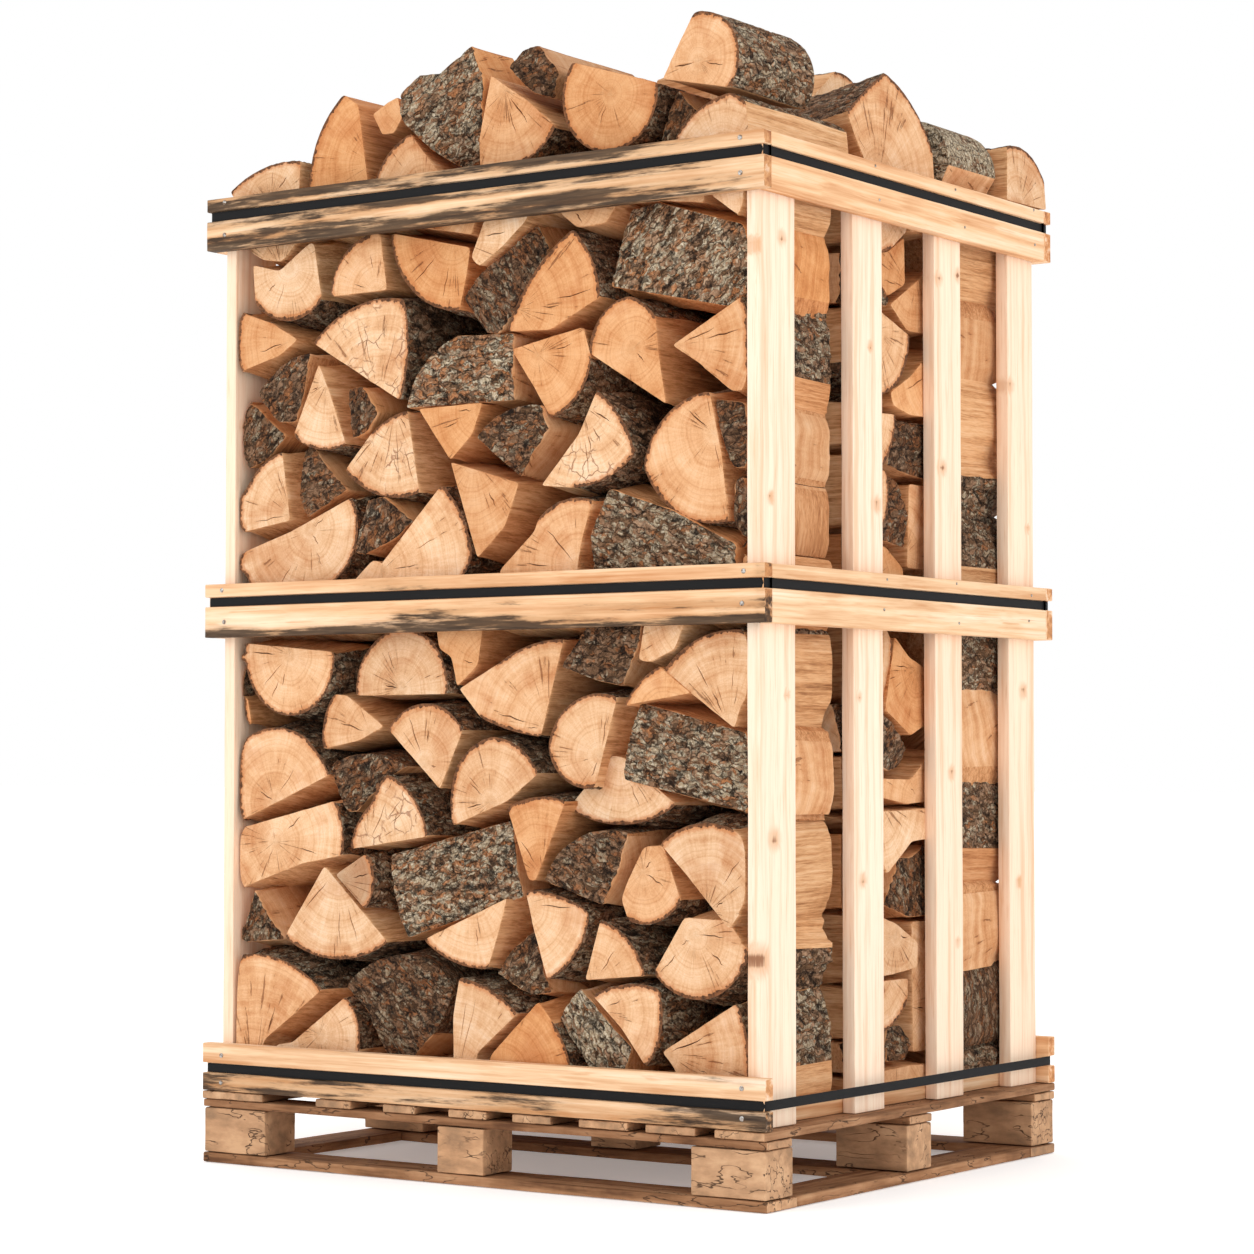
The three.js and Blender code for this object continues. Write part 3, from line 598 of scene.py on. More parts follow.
strap_plastic = Finish("strap_plastic", 0.2)
strap_ribs = strap_plastic.cloud(
    strap_plastic.stretch(strap_plastic.note(GRAIN), (6, 900, 1)), 1.0, 2.0
)
strap_scuffs = strap_plastic.cloud(
    strap_plastic.stretch(strap_plastic.note(GRAIN), (30, 160, 1)), 1.0, 4.0
)
strap_plastic.wear(
    strap_plastic.ramp(strap_scuffs, (0.35, paint(10, 9, 10)), (0.6, paint(17, 16, 17)),
                       (0.8, paint(36, 34, 34))),
    0.5 + strap_scuffs * 0.25, strap_ribs, 0.0003,
)
for place, groove in GROOVES.items():
    low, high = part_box(f"strap_{place}")
    stock = Stock()
    half = STRAP_HEIGHT / 2
    section = [(0, -half), (0, -half / 2), (0, 0), (0, half / 2), (0, half),
               (STRAP_THICK * 0.7, half), (STRAP_THICK, half / 2), (STRAP_THICK, 0),
               (STRAP_THICK, -half / 2), (STRAP_THICK * 0.7, -half)]
    rings = []
    run = 0.0
    before = None
    for at, out in strap_route(high.x - STRAP_THICK, high.y - STRAP_THICK, STRAP_BEND):
        run += (at - before).length if before else 0.0
        before = at
        sag = 0.0004 * noise.noise(Vector((run * 3, groove, 0)))
        lift = 0.0002 + 0.0002 * noise.noise(Vector((run * 5, 2, groove)))
        middle = (low.z + high.z) / 2 + sag
        rings.append([
            stock.add((*(at + out * (deep - lift)), middle + up), grain=(run, up, deep))
            for deep, up in section
        ])
    for lower, upper in zip(rings, rings[1:] + rings[:1]):
        for index in range(len(section)):
            after = (index + 1) % len(section)
            stock.face((lower[index], lower[after], upper[after], upper[index]), 0)
    stock.make(f"strap_{place}_band", [f"strap_{place}"], [strap_plastic], sharp=50)


# ---- Nails ----
# Round wire nails hold the rails to each other at the corners and to the slats. Only their
# heads show, driven just flush, bright on the front rails and duller on the sides.
NAIL_RADIUS = 0.0042
NAIL_CORNERS = 12
NAIL_REACH = 0.557
nail_steel = Finish("nail_steel", 0.5)
nail_steel.shader.inputs["Metallic"].default_value = 0.9
nail_rust = nail_steel.cloud(nail_steel.stretch(nail_steel.note(GRAIN), (1, 1, 1)), 240.0, 3.0)
nail_steel.wear(
    nail_steel.ramp(nail_rust, (0.4, paint(188, 186, 182)), (0.62, paint(120, 96, 76))),
    0.3 + nail_rust * 0.3, nail_rust, 0.0002,
)
nails = Stock()


def drive(at, out, radius):
    """One domed nail head on a face that looks along out."""
    side = Vector((-out.y, out.x, 0))
    rings = []
    for share, rise in ((1.0, -0.0004), (1.0, 0.0002), (0.8, 0.0006), (0.35, 0.0008)):
        ring = []
        for turn in range(NAIL_CORNERS):
            angle = turn * 2 * math.pi / NAIL_CORNERS
            way = side * math.cos(angle) + Vector((0, 0, 1)) * math.sin(angle)
            spot = at + out * rise + way * radius * share
            ring.append(nails.add(tuple(spot), grain=tuple(spot)))
        rings.append(ring)
    for lower, upper in zip(rings, rings[1:]):
        for index in range(NAIL_CORNERS):
            after = (index + 1) % NAIL_CORNERS
            nails.face((lower[index], lower[after], upper[after], upper[index]), 0)
    nails.face(tuple(rings[-1]), 0)
    nails.face(tuple(reversed(rings[0])), 0)


nail_rng = random.Random("nails")
for place, groove in GROOVES.items():
    low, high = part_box(f"rail_{place}_front")
    strips = ((low.z + groove) / 2, (groove + GROOVE_HEIGHT + high.z) / 2)
    for height in strips:
        for end in (-1, 1):
            for out in (-1, 1):
                x = end * (NAIL_REACH + nail_rng.uniform(-0.004, 0.004))
                z = height + nail_rng.uniform(-0.004, 0.004)
                drive(Vector((x, out * 0.5, z)), Vector((0, out, 0)), NAIL_RADIUS)
        if place == "bottom":
            continue
        for out in (-1, 1):
            for slat in SLAT_KNOTS:
                if slat.startswith("slat_right") and not slat.endswith("_1"):
                    slat_low, slat_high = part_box(slat)
                    y = (slat_low.y + slat_high.y) / 2 + nail_rng.uniform(-0.02, 0.02)
                    z = height + nail_rng.uniform(-0.008, 0.008)
                    drive(Vector((out * 0.6, y, z)), Vector((out, 0, 0)), NAIL_RADIUS * 0.6)
nails.make("nails", [], [nail_steel], sharp=60)


# ---- Front row of logs ----
# Split hardwood logs about 27 cm long lie across the deck with their cut ends to the front.
# Each is half, a quarter or less of a round: two split faces and a curved side of bark.
END = "end"
ORANGE = "orange"
CRACKED = "cracked"
GREY = "grey"
DARK = "dark"
PALE_BARK = "pale bark"
CROSS = "cross"
SPLIT = "split"
LOG_LENGTH = 0.272
SIDE_FACE = 0.5495
FRONT_FACE = -0.4715
CUT, RIVEN, BARK = 0, 1, 2
FRONT_LOGS = [
    (END, (-546, 372, 12), (-350, 316, 0), (-478, 222, 0), (-500, 133, 0), (-548, 133, 0),
     (-549, 250, 0)),
    (END, (-425, 220, 0), (-298, 308, 14), (-268, 215, 0), (-275, 133, 0), (-490, 133, 0),
     (-462, 215, 0)),
    (DARK, (-296, 325, 12), (-155, 384, 12), (-64, 330, 8), (-100, 250, 0), (-150, 205, 0),
     (-215, 205, 0), (-250, 282, 0)),
    (END, (-262, 196, 0), (-62, 196, 0), (-60, 133, 0), (-262, 133, 0)),
    (END, (-38, 352, 8), (87, 294, 0), (0, 222, 0), (-5, 133, 0), (-52, 133, 0), (-52, 285, 0)),
    (ORANGE, (28, 222, 0), (134, 318, 0), (166, 282, 14), (190, 133, 0), (2, 133, 0)),
    (PALE_BARK, (160, 287, 0), (210, 343, 0), (310, 245, 0), (300, 200, 0), (235, 200, 0)),
    (END, (240, 331, 10), (373, 348, 14), (345, 215, 0), (298, 277, 0)),
    (END, (200, 190, 0), (390, 200, 0), (388, 133, 0), (200, 133, 0)),
    (END, (372, 243, 0), (522, 330, 9), (546, 215, 0), (548, 133, 0), (400, 133, 0), (398, 215, 0)),
    (DARK, (-541, 394, 0), (-530, 445, 0), (-514, 491, 0), (-445, 402, 0)),
    (END, (-441, 407, 0), (-350, 537, 0), (-204, 404, 15)),
    (GREY, (-316, 521, 0), (-247, 561, 20), (-246, 460, 0)),
    (CROSS, (-207, 558, 0), (62, 622, 0), (85, 490, 0), (-172, 412, 0)),
    (END, (-127, 412, 0), (64, 490, 0), (40, 420, 0), (18, 366, 10)),
    (DARK, (28, 360, 0), (62, 402, 0), (110, 436, 0), (140, 330, 0), (102, 324, 0)),
    (END, (94, 503, 8), (228, 468, 14), (144, 350, 0), (112, 440, 0)),
    (END, (218, 354, 0), (250, 458, 14), (345, 366, 0)),
    (END, (355, 372, 0), (420, 466, 0), (508, 463, 0), (546, 415, 32)),
    (END, (-547, 490, 0), (-549, 600, 0), (-322, 652, 8), (-305, 554, 0), (-400, 538, 0)),
    (CRACKED, (-286, 565, 10), (-236, 648, 8), (-200, 700, 14), (-110, 590, 0)),
    (ORANGE, (60, 643, 10), (187, 655, 0), (120, 518, 0), (104, 518, 0)),
    (DARK, (133, 518, 8), (195, 588, 10), (303, 602, 0), (292, 545, 0), (255, 480, 0)),
    (ORANGE, (302, 520, 0), (336, 580, 0), (376, 583, 0), (410, 492, 18), (304, 455, 0),
     (290, 492, 0)),
    (END, (371, 585, 14), (520, 612, 0), (548, 592, 0), (548, 490, 0), (512, 447, 0),
     (430, 530, 0)),
    (END, (-547, 611, 1), (-540, 760, 14), (-400, 766, 6), (-342, 696, 0), (-450, 650, 0)),
    (DARK, (-346, 715, 12), (-165, 712, 0), (-205, 694, 0), (-282, 632, 0), (-302, 631, 0)),
    (END, (-352, 742, 12), (-331, 841, 0), (-300, 838, 0), (-213, 782, 0), (-270, 756, 0)),
    (END, (-208, 777, 27), (-35, 775, 0), (-84, 671, 0)),
    (END, (-532, 935, 0), (-315, 915, 57)),
    (ORANGE, (-545, 787, 3), (-545, 898, 0), (-534, 840, 0), (-524, 787, 0)),
    (END, (-282, 836, 56), (-71, 836, 0)),
    (ORANGE, (-100, 985, 0), (12, 985, 0), (-4, 886, 0), (-50, 848, 0), (-62, 900, 0),
     (-88, 915, 0)),
    (END, (-50, 846, 0), (35, 888, 8), (177, 928, 0), (125, 761, 4), (-2, 794, 0)),
    (DARK, (170, 880, 0), (215, 935, 0), (250, 985, 0), (345, 985, 0), (332, 915, 0), (292, 845, 0),
     (240, 856, 0)),
    (END, (331, 888, 0), (352, 985, 0), (445, 985, 0), (408, 905, 0), (358, 884, 0)),
    (END, (380, 870, 14), (548, 934, 0), (548, 850, 0), (522, 773, 0)),
    (ORANGE, (305, 812, 8), (374, 879, 0), (440, 832, 0)),
    (END, (146, 745, 24), (288, 829, 0), (240, 675, 22)),
    (CROSS, (290, 690, 0), (325, 820, 0), (548, 765, 0), (548, 636, 0)),
    (END, (-55, 609, 8), (-50, 705, 12), (30, 764, 14), (128, 700, 0), (62, 652, 0)),
    (END, (164, 642, 0), (257, 732, 0), (284, 728, 0), (390, 648, 14)),
    (END, (-548, 950, 0), (-548, 998, 0), (-300, 998, 0), (-300, 950, 0)),
    (ORANGE, (-290, 958, 0), (-280, 1000, 0), (-105, 1000, 0), (-105, 955, 0)),
    (END, (20, 948, 0), (20, 1000, 0), (240, 1000, 0), (232, 965, 0), (180, 945, 0)),
    (ORANGE, (455, 945, 0), (455, 1000, 0), (548, 1000, 0), (548, 945, 0)),
    (END, (-547, 1098, 0), (-430, 1134, 0), (-293, 1190, 24), (-350, 1030, 0), (-500, 1006, 6)),
    (END, (-545, 1134, 20), (-450, 1279, 0), (-431, 1152, 0)),
    (DARK, (-411, 1200, 0), (-405, 1283, 0), (-385, 1286, 0), (-300, 1202, 0), (-396, 1155, 0)),
    (CRACKED, (-311, 1237, 0), (-243, 1303, 6), (-160, 1336, 0), (-135, 1188, 14)),
    (DARK, (-280, 1090, 0), (-252, 1182, 0), (-210, 1186, 0), (-150, 1140, 0), (-188, 1110, 0),
     (-252, 1084, 0)),
    (END, (-223, 1062, 0), (-86, 1203, 9), (-20, 1075, 8), (-80, 1005, 0), (-200, 1005, 0)),
    (END, (-330, 1005, 0), (-242, 1076, 0), (-216, 1070, 0), (-205, 1005, 0)),
    (ORANGE, (-64, 1240, 0), (90, 1195, 0), (60, 1122, 0), (-2, 1068, 0)),
    (ORANGE, (-130, 1335, 0), (12, 1338, 0), (-12, 1284, 0), (-62, 1240, 0)),
    (DARK, (-6, 1278, 14), (128, 1327, 0), (148, 1285, 0), (82, 1205, 0)),
    (CRACKED, (135, 1187, 0), (212, 1272, 0), (248, 1345, 9), (327, 1232, 10), (205, 1180, 0)),
    (ORANGE, (42, 1048, 0), (118, 1112, 0), (126, 1132, 14), (243, 1160, 0), (218, 1090, 0),
     (200, 1005, 0), (42, 1005, 0)),
    (CROSS, (236, 1100, 0), (272, 1178, 0), (400, 1135, 0), (525, 1075, 0), (525, 1010, 0),
     (240, 1010, 0)),
    (ORANGE, (336, 1212, 18), (472, 1329, 0), (495, 1222, 0), (507, 1112, 19)),
    (DARK, (478, 1316, 0), (548, 1305, 0), (548, 1200, 0), (512, 1200, 0), (500, 1235, 0)),
    (DARK, (513, 1112, 0), (514, 1178, 10), (548, 1185, 0), (548, 1066, 0)),
    (ORANGE, (530, 1005, 0), (532, 1060, 0), (548, 1058, 0), (548, 1005, 0)),
    (END, (-423, 1304, 0), (-361, 1432, 0), (-334, 1372, 0), (-300, 1282, 14)),
    (DARK, (-546, 1310, 0), (-549, 1376, 0), (-510, 1360, 0), (-446, 1305, 0), (-492, 1264, 0),
     (-532, 1250, 0)),
    (DARK, (-511, 1385, 12), (-386, 1453, 0), (-400, 1380, 0), (-428, 1331, 0), (-462, 1331, 0)),
    (ORANGE, (-548, 1424, 2), (-546, 1538, 0), (-470, 1512, 0), (-408, 1477, 0), (-450, 1450, 0)),
    (CRACKED, (-383, 1469, 13), (-172, 1533, 8), (-180, 1352, 0)),
    (DARK, (-296, 1380, 0), (-258, 1384, 0), (-225, 1336, 0), (-250, 1301, 0), (-280, 1290, 0)),
    (CROSS, (-166, 1338, 12), (-60, 1460, 0), (68, 1455, 0), (70, 1338, 0)),
    (ORANGE, (60, 1427, 0), (215, 1455, 0), (230, 1400, 16), (141, 1303, 0), (106, 1360, 0)),
    (ORANGE, (225, 1408, 20), (310, 1500, 6), (362, 1462, 0), (368, 1400, 0), (384, 1311, 0)),
    (ORANGE, (395, 1409, 0), (533, 1483, 4), (547, 1365, 0), (548, 1325, 0), (512, 1325, 0),
     (448, 1376, 0)),
    (ORANGE, (57, 1456, 9), (200, 1621, 10), (256, 1500, 0), (150, 1452, 0)),
    (DARK, (-48, 1524, 0), (0, 1566, 0), (60, 1600, 0), (108, 1640, 0), (135, 1596, 0),
     (92, 1510, 0), (32, 1455, 0), (0, 1460, 0)),
    (CROSS, (274, 1516, 0), (300, 1647, 0), (365, 1652, 0), (548, 1595, 0), (548, 1470, 0),
     (500, 1466, 0)),
    (END, (-516, 1552, 0), (-519, 1622, 0), (-458, 1606, 0), (-390, 1650, 0), (-377, 1650, 0),
     (-362, 1546, 24)),
    (END, (-338, 1548, 18), (-250, 1652, 0), (-221, 1652, 0), (-205, 1549, 0)),
    (ORANGE, (-203, 1652, 0), (-30, 1612, 0), (-38, 1560, 0), (-52, 1501, 20)),
    (END, (-20, 1590, 0), (28, 1700, 0), (112, 1700, 0), (103, 1645, 0), (50, 1603, 0),
     (0, 1572, 0)),
    (ORANGE, (168, 1650, 0), (165, 1742, 0), (295, 1742, 0), (285, 1650, 0), (265, 1624, 0),
     (205, 1622, 0)),
    (END, (-530, 1645, 0), (-540, 1742, 0), (-400, 1742, 0), (-405, 1665, 0), (-455, 1622, 0),
     (-500, 1628, 0)),
    (END, (478, 1650, 0), (470, 1742, 0), (548, 1742, 0), (548, 1610, 0), (530, 1612, 0)),
    (END, (-385, 1665, 0), (-390, 1742, 0), (-215, 1742, 0), (-220, 1660, 0)),
    (ORANGE, (-200, 1668, 0), (-205, 1742, 0), (-30, 1742, 0), (0, 1690, 0), (-20, 1630, 0)),
    (END, (-10, 1712, 0), (-20, 1742, 0), (155, 1742, 0), (155, 1660, 0), (120, 1660, 0),
     (115, 1712, 0)),
    (ORANGE, (305, 1660, 0), (310, 1742, 0), (455, 1742, 0), (460, 1640, 0)),
]
# How far the grain of a log that shows its bark runs up to the right, in degrees
BARK_SLOPES = {6: -58, 13: 14, 39: -13, 58: -20, 69: 2, 75: 36, 2: -30, 10: 70, 15: 40, 22: -20,
               26: 30, 34: 5, 48: 15, 50: 60, 60: 5, 61: 80, 64: 50, 65: 40, 68: 60, 74: -50}

# Logs that lie deeper in the stack than their neighbours, and by how much
SET_BACK = {41: 0.024}


def cut_wood():
    """Sawn end grain: growth rings round the heart, rays, checks with painted shade down in them,
    and a dark rim under the bark.
    """
    finish = Finish("cut_end_grain", 0.2)
    grain = finish.note(GRAIN)
    light, warmth, grey = finish.split(finish.note(TONE))
    rim = finish.note(RIM, "Fac")
    relief = finish.note(RELIEF, "Fac")
    checked = finish.note(CHECKED, "Fac")
    flat = finish.stretch(grain, (1, 1, 0))
    radius = finish.node("ShaderNodeVectorMath", {"operation": "LENGTH"}, {0: flat}, "Value")
    spoke = finish.node("ShaderNodeVectorMath", {"operation": "NORMALIZE"}, {0: flat})
    sway = finish.cloud(grain, 16.0, 3.0)
    rings = finish.rings(radius + sway * 0.016, 250)
    bands = finish.rings(radius + sway * 0.022, 55)
    rays = finish.cloud(
        finish.shift(finish.stretch(spoke, (16, 16, 16)), finish.stretch(grain, (12, 12, 12))),
        1.0, 4.0, 0.6,
    )
    blotches = finish.cloud(grain, 15.0, 4.0, 0.6)
    fuzz = finish.cloud(grain, 330.0, 3.0, 0.65)
    value = 0.52 + (bands - 0.5) * 0.5 + (rays - 0.5) * 0.45 + (blotches - 0.5) * 0.9
    value = value + (fuzz - 0.5) * 0.4
    colour = finish.ramp(
        value, (0.2, paint(198, 140, 94)), (0.42, paint(222, 174, 130)),
        (0.6, paint(237, 197, 157)), (0.85, paint(247, 217, 186)),
    )
    colour = finish.mix(finish.ease(rings, 0.5, 0.7) * 0.24, colour, paint(196, 138, 92))
    colour = finish.tint(warmth, colour, paint(240, 200, 150))
    colour = finish.tint(1 - light, colour, paint(176, 150, 134))
    damp = finish.ease(finish.cloud(finish.shift(grain, (3, 8, 0)), 9.0, 4.0, 0.6), 0.52, 0.66)
    colour = finish.tint(damp * 0.4, colour, paint(214, 168, 124))
    colour = finish.mix(grey * (0.4 + blotches * 0.8), colour, paint(140, 118, 98))
    hairs = finish.ease(rays + (blotches - 0.5) * 0.5, 0.335, 0.3)
    colour = finish.mix(hairs * 0.6, colour, paint(122, 70, 38))
    warp = finish.shift(grain, finish.stretch(finish.mottle(grain, 60.0), (0.02, 0.02, 0.0)))
    shards = finish.node(
        "ShaderNodeTexVoronoi", {"feature": "DISTANCE_TO_EDGE"}, {"Vector": warp, "Scale": 34.0}
    )
    network = (1 - finish.ease(shards, 0.01, 0.045)) * finish.ease(blotches, 0.47, 0.6) * checked
    colour = finish.mix(network * 0.65, colour, paint(142, 78, 44))
    crumbs = finish.cloud(grain, 120.0, 4.0, 0.65)
    wander = rim + (blotches - 0.5) * 0.012 + (crumbs - 0.5) * 0.011
    colour = finish.mix((1 - finish.ease(wander, 0.007, 0.014)) * 0.65, colour, paint(194, 122, 72))
    colour = finish.mix(
        (1 - finish.ease(wander, 0.0052, 0.0066)) * 0.94, colour,
        finish.ramp(crumbs, (0.35, paint(58, 36, 24)), (0.62, paint(132, 84, 52))),
    )
    # Painted shade down in the checks sunk into the end, where the relief is 0.
    colour = finish.mix((1 - finish.ease(relief, 0.2, 0.9)) * 0.92, colour, paint(78, 42, 22))
    finish.wear(colour, 0.7 + fuzz * 0.2, fuzz * 0.7 + rays * 0.7 - hairs - network, 0.0012)
    return finish


def riven_wood():
    """A split face: torn fibres along the log in orange-brown streaks."""
    finish = Finish("riven_wood", 0.2)
    grain = finish.note(GRAIN)
    light, warmth, grey = finish.split(finish.note(TONE))
    fibres = finish.cloud(finish.stretch(grain, (150, 150, 5)), 1.0, 5.0, 0.68)
    broad = finish.cloud(finish.stretch(grain, (34, 34, 4)), 1.0, 3.0, 0.6)
    torn = finish.cloud(finish.stretch(grain, (420, 420, 40)), 1.0, 2.0, 0.6)
    colour = finish.ramp(
        fibres * 0.6 + broad * 0.4 + (torn - 0.5) * 0.28,
        (0.3, paint(146, 96, 58)), (0.44, paint(202, 148, 100)), (0.54, paint(228, 178, 130)),
        (0.7, paint(244, 206, 164)),
    )
    colour = finish.tint(warmth * 0.8, colour, paint(232, 180, 128))
    colour = finish.tint(1 - light, colour, paint(170, 142, 124))
    colour = finish.mix(grey * 0.6, colour, paint(132, 104, 82))
    finish.wear(colour, 0.68 + torn * 0.2, fibres + torn * 0.4, 0.003)
    return finish


def rough_bark():
    """Hardwood bark: grey-brown plates, deep fissures darkened partly in their own colour and
    partly with painted shade, lichen, and orange where it flakes.
    """
    finish = Finish("rough_bark", 0.15)
    grain = finish.note(GRAIN)
    lichen, orange, dark = finish.split(finish.note(COAT))
    relief = finish.note(RELIEF, "Fac")
    crumbs = finish.cloud(grain, 240.0, 4.0, 0.68)
    swirl = finish.stretch(finish.mottle(grain, 48.0), (0.026, 0.026, 0.04))
    skin = finish.stretch(finish.shift(grain, swirl), (1, 1, 0.35))
    flake, flake_tone = [
        finish.node("ShaderNodeTexVoronoi", {}, {"Vector": skin, "Scale": 150.0}, output)
        for output in ("Distance", "Color")
    ]
    flake_light, flake_kind, flake_warm = finish.split(flake_tone)
    seams = finish.node(
        "ShaderNodeTexVoronoi", {"feature": "DISTANCE_TO_EDGE"}, {"Vector": skin, "Scale": 66.0}
    )
    crust = finish.cloud(finish.shift(grain, (7, 3, 5)), 26.0, 4.0, 0.65)
    patches = finish.cloud(finish.shift(grain, (4, 9, 2)), 38.0, 4.0, 0.62)
    colour = finish.ramp(
        flake_light * 0.35 + crumbs * 0.65, (0.25, paint(74, 52, 36)), (0.42, paint(122, 92, 66)),
        (0.56, paint(158, 122, 94)), (0.72, paint(192, 158, 128)),
    )
    pale = finish.ease(flake_kind * 0.5 + crust + (lichen - 0.5) * 0.55, 0.76, 0.86)
    colour = finish.mix(
        pale * 0.88, colour,
        finish.ramp(crumbs, (0.34, paint(142, 120, 92)), (0.5, paint(190, 171, 142)),
                    (0.66, paint(228, 217, 194))),
    )
    rust = finish.ease(flake_warm * 0.4 + patches + (orange - 0.5) * 0.45, 0.8, 0.88)
    fresh = finish.ramp(crumbs, (0.36, paint(128, 76, 44)), (0.62, paint(196, 132, 84)))
    colour = finish.mix(rust * 0.8, colour, fresh)
    colour = finish.tint(dark, colour, paint(142, 122, 106))
    rims = finish.ease(flake, 0.42, 0.72)
    # Down in the fissures, where the relief is low, the bark goes almost black: partly the
    # fissures' own darker colour, partly painted shade.
    depth = 1 - finish.ease(relief + (crumbs - 0.5) * 0.9, 0.1, 0.6)
    gaps = 1 - finish.ease(seams + (crumbs - 0.5) * 0.08, 0.015, 0.06)
    colour = finish.mix(rims * 0.32, colour, paint(64, 44, 31))
    colour = finish.mix(gaps * 0.62, colour, paint(50, 33, 22))
    colour = finish.mix(depth * 0.86, colour, paint(26, 17, 12))
    height = crumbs * 0.6 - rims * 0.5 - gaps * 0.8 + pale * 0.2
    finish.wear(colour, 0.8 + crumbs * 0.15, height, 0.004)
    return finish


log_finishes = [cut_wood(), riven_wood(), rough_bark()]
LOOKS = {
    # light, warmth and grey of the wood, each with its spread, then the number of checks
    END: ((0.96, 0.06), (0.12, 0.12), (0.0, 0.04), (2, 4)),
    ORANGE: ((0.92, 0.05), (0.55, 0.14), (0.02, 0.04), (1, 3)),
    CRACKED: ((1.0, 0.02), (0.0, 0.03), (0.0, 0.03), (5, 8)),
    GREY: ((0.86, 0.05), (0.1, 0.08), (0.6, 0.1), (1, 2)),
    DARK: ((0.9, 0.05), (0.4, 0.2), (0.1, 0.1), (0, 0)),
    PALE_BARK: ((0.95, 0.03), (0.2, 0.1), (0.0, 0.05), (0, 0)),
    CROSS: ((0.92, 0.05), (0.5, 0.2), (0.0, 0.1), (0, 0)),
    SPLIT: ((0.98, 0.03), (0.25, 0.15), (0.0, 0.05), (0, 0)),
}
COATS = {DARK: (0.32, 0.62, 0.55), PALE_BARK: (0.86, 0.25, 0.0), CROSS: (0.62, 0.5, 0.15)}


def trace(corners, step):
    """Points round an outline of (across, up, bulge) corners in mm, clockwise, and which are bark.

    The bulge is the height of the bark's arc to the next corner, in percent of the distance.
    """
    marks = []
    barked = []
    for index, (x1, y1, bulge) in enumerate(corners):
        x2, y2, _ = corners[(index + 1) % len(corners)]
        chord = math.hypot(x2 - x1, y2 - y1)
        pieces = max(1, round(chord * (1 + bulge * bulge / 4000) / (step * 1000)))
        if bulge:
            rise = chord * bulge / 100
            radius = (chord * chord / 4 + rise * rise) / (2 * rise)
            back = (radius - rise) / chord
            centre = ((x1 + x2) / 2 + (y2 - y1) * back, (y1 + y2) / 2 - (x2 - x1) * back)
            start = math.atan2(y1 - centre[1], x1 - centre[0])
            end = math.atan2(y2 - centre[1], x2 - centre[0])
            sweep = (end - start) % (2 * math.pi) - 2 * math.pi
        for part in range(pieces):
            share = part / pieces
            if bulge:
                angle = start + sweep * share
                across, up = radius * math.cos(angle), radius * math.sin(angle)
                marks.append((centre[0] + across, centre[1] + up))
            else:
                marks.append((x1 + (x2 - x1) * share, y1 + (y2 - y1) * share))
            barked.append(bool(bulge))
    marks = np.array(marks) / 1000
    marks = 0.5 * marks + 0.25 * (np.roll(marks, 1, 0) + np.roll(marks, -1, 0))
    return marks, np.array(barked)


def ease_flank(marks, reach, rng):
    """Rounds the side of the stack's outermost logs, each a little less far out than the reach."""
    for side in (-1, 1):
        flank = marks[:, 0] * side > reach - 0.016
        if flank.sum() < 3:
            continue
        low, high = marks[flank, 1].min(), marks[flank, 1].max()
        share = (2 * marks[flank, 1] - low - high) / (high - low + 1e-6)
        inset = rng.uniform(0.0, 0.007)
        marks[flank, 0] = side * (reach - inset - 0.003 * share ** 2 - 0.009 * share ** 6)
    return marks


def heart(marks, corners, rng):
    """Where the tree's centre was: the middle of the bark's curve, or out to one side."""
    best = max(range(len(corners)), key=lambda index: corners[index][2])
    x1, y1, bulge = corners[best]
    x2, y2, _ = corners[(best + 1) % len(corners)]
    middle = np.array(((x1 + x2) / 2000, (y1 + y2) / 2000))
    if bulge < 2:
        angle = rng.uniform(0, 2 * math.pi)
        return marks.mean(0) + np.array((math.cos(angle), math.sin(angle))) * rng.uniform(0.04, 0.1)
    chord = math.hypot(x2 - x1, y2 - y1) / 1000
    inward = np.array((y2 - y1, x1 - x2)) / 1000 / chord
    rise = chord * bulge / 100
    reach = (chord * chord / 4 + rise * rise) / (2 * rise) - rise
    far = ((marks - middle) @ inward).max()
    return middle + inward * max(-0.4 * rise, min(reach, far * 0.96))


def gap_to(spots, starts, ends):
    """The distance from each spot to the nearest of the lines from starts to ends."""
    along = ends - starts
    length = (along ** 2).sum(1) + 1e-12
    from_start = spots[:, None, :] - starts[None]
    share = np.clip((from_start * along[None]).sum(2) / length[None], 0, 1)
    return np.sqrt(((from_start - share[..., None] * along[None]) ** 2).sum(2)).min(1)


def inside(spots, marks):
    """Which spots lie inside the outline."""
    ahead = np.roll(marks, -1, 0)
    x, y = spots[:, :1], spots[:, 1:]
    crosses = (marks[None, :, 1] > y) != (ahead[None, :, 1] > y)
    slope = (ahead[:, 0] - marks[:, 0]) / (ahead[:, 1] - marks[:, 1] + 1e-12)
    before = x < marks[None, :, 0] + (y - marks[None, :, 1]) * slope[None]
    return (crosses & before).sum(1) % 2 == 1


def fissures(across, along, seed):
    """The height of the bark from 0, in a fissure, to 1, on a plate."""
    broad = noise.noise(Vector((across * 90, along * 24, seed)))
    cross = noise.noise(Vector((across * 34, along * 58, seed + 40)))
    fine = noise.noise(Vector((across * 160, along * 70, seed + 9)))
    plate = min(1.0, abs(broad) * 3.6 + 0.1)
    return max(0.0, min(1.0, plate * min(1.0, abs(cross) * 3.2 + 0.45) + 0.2 * fine))


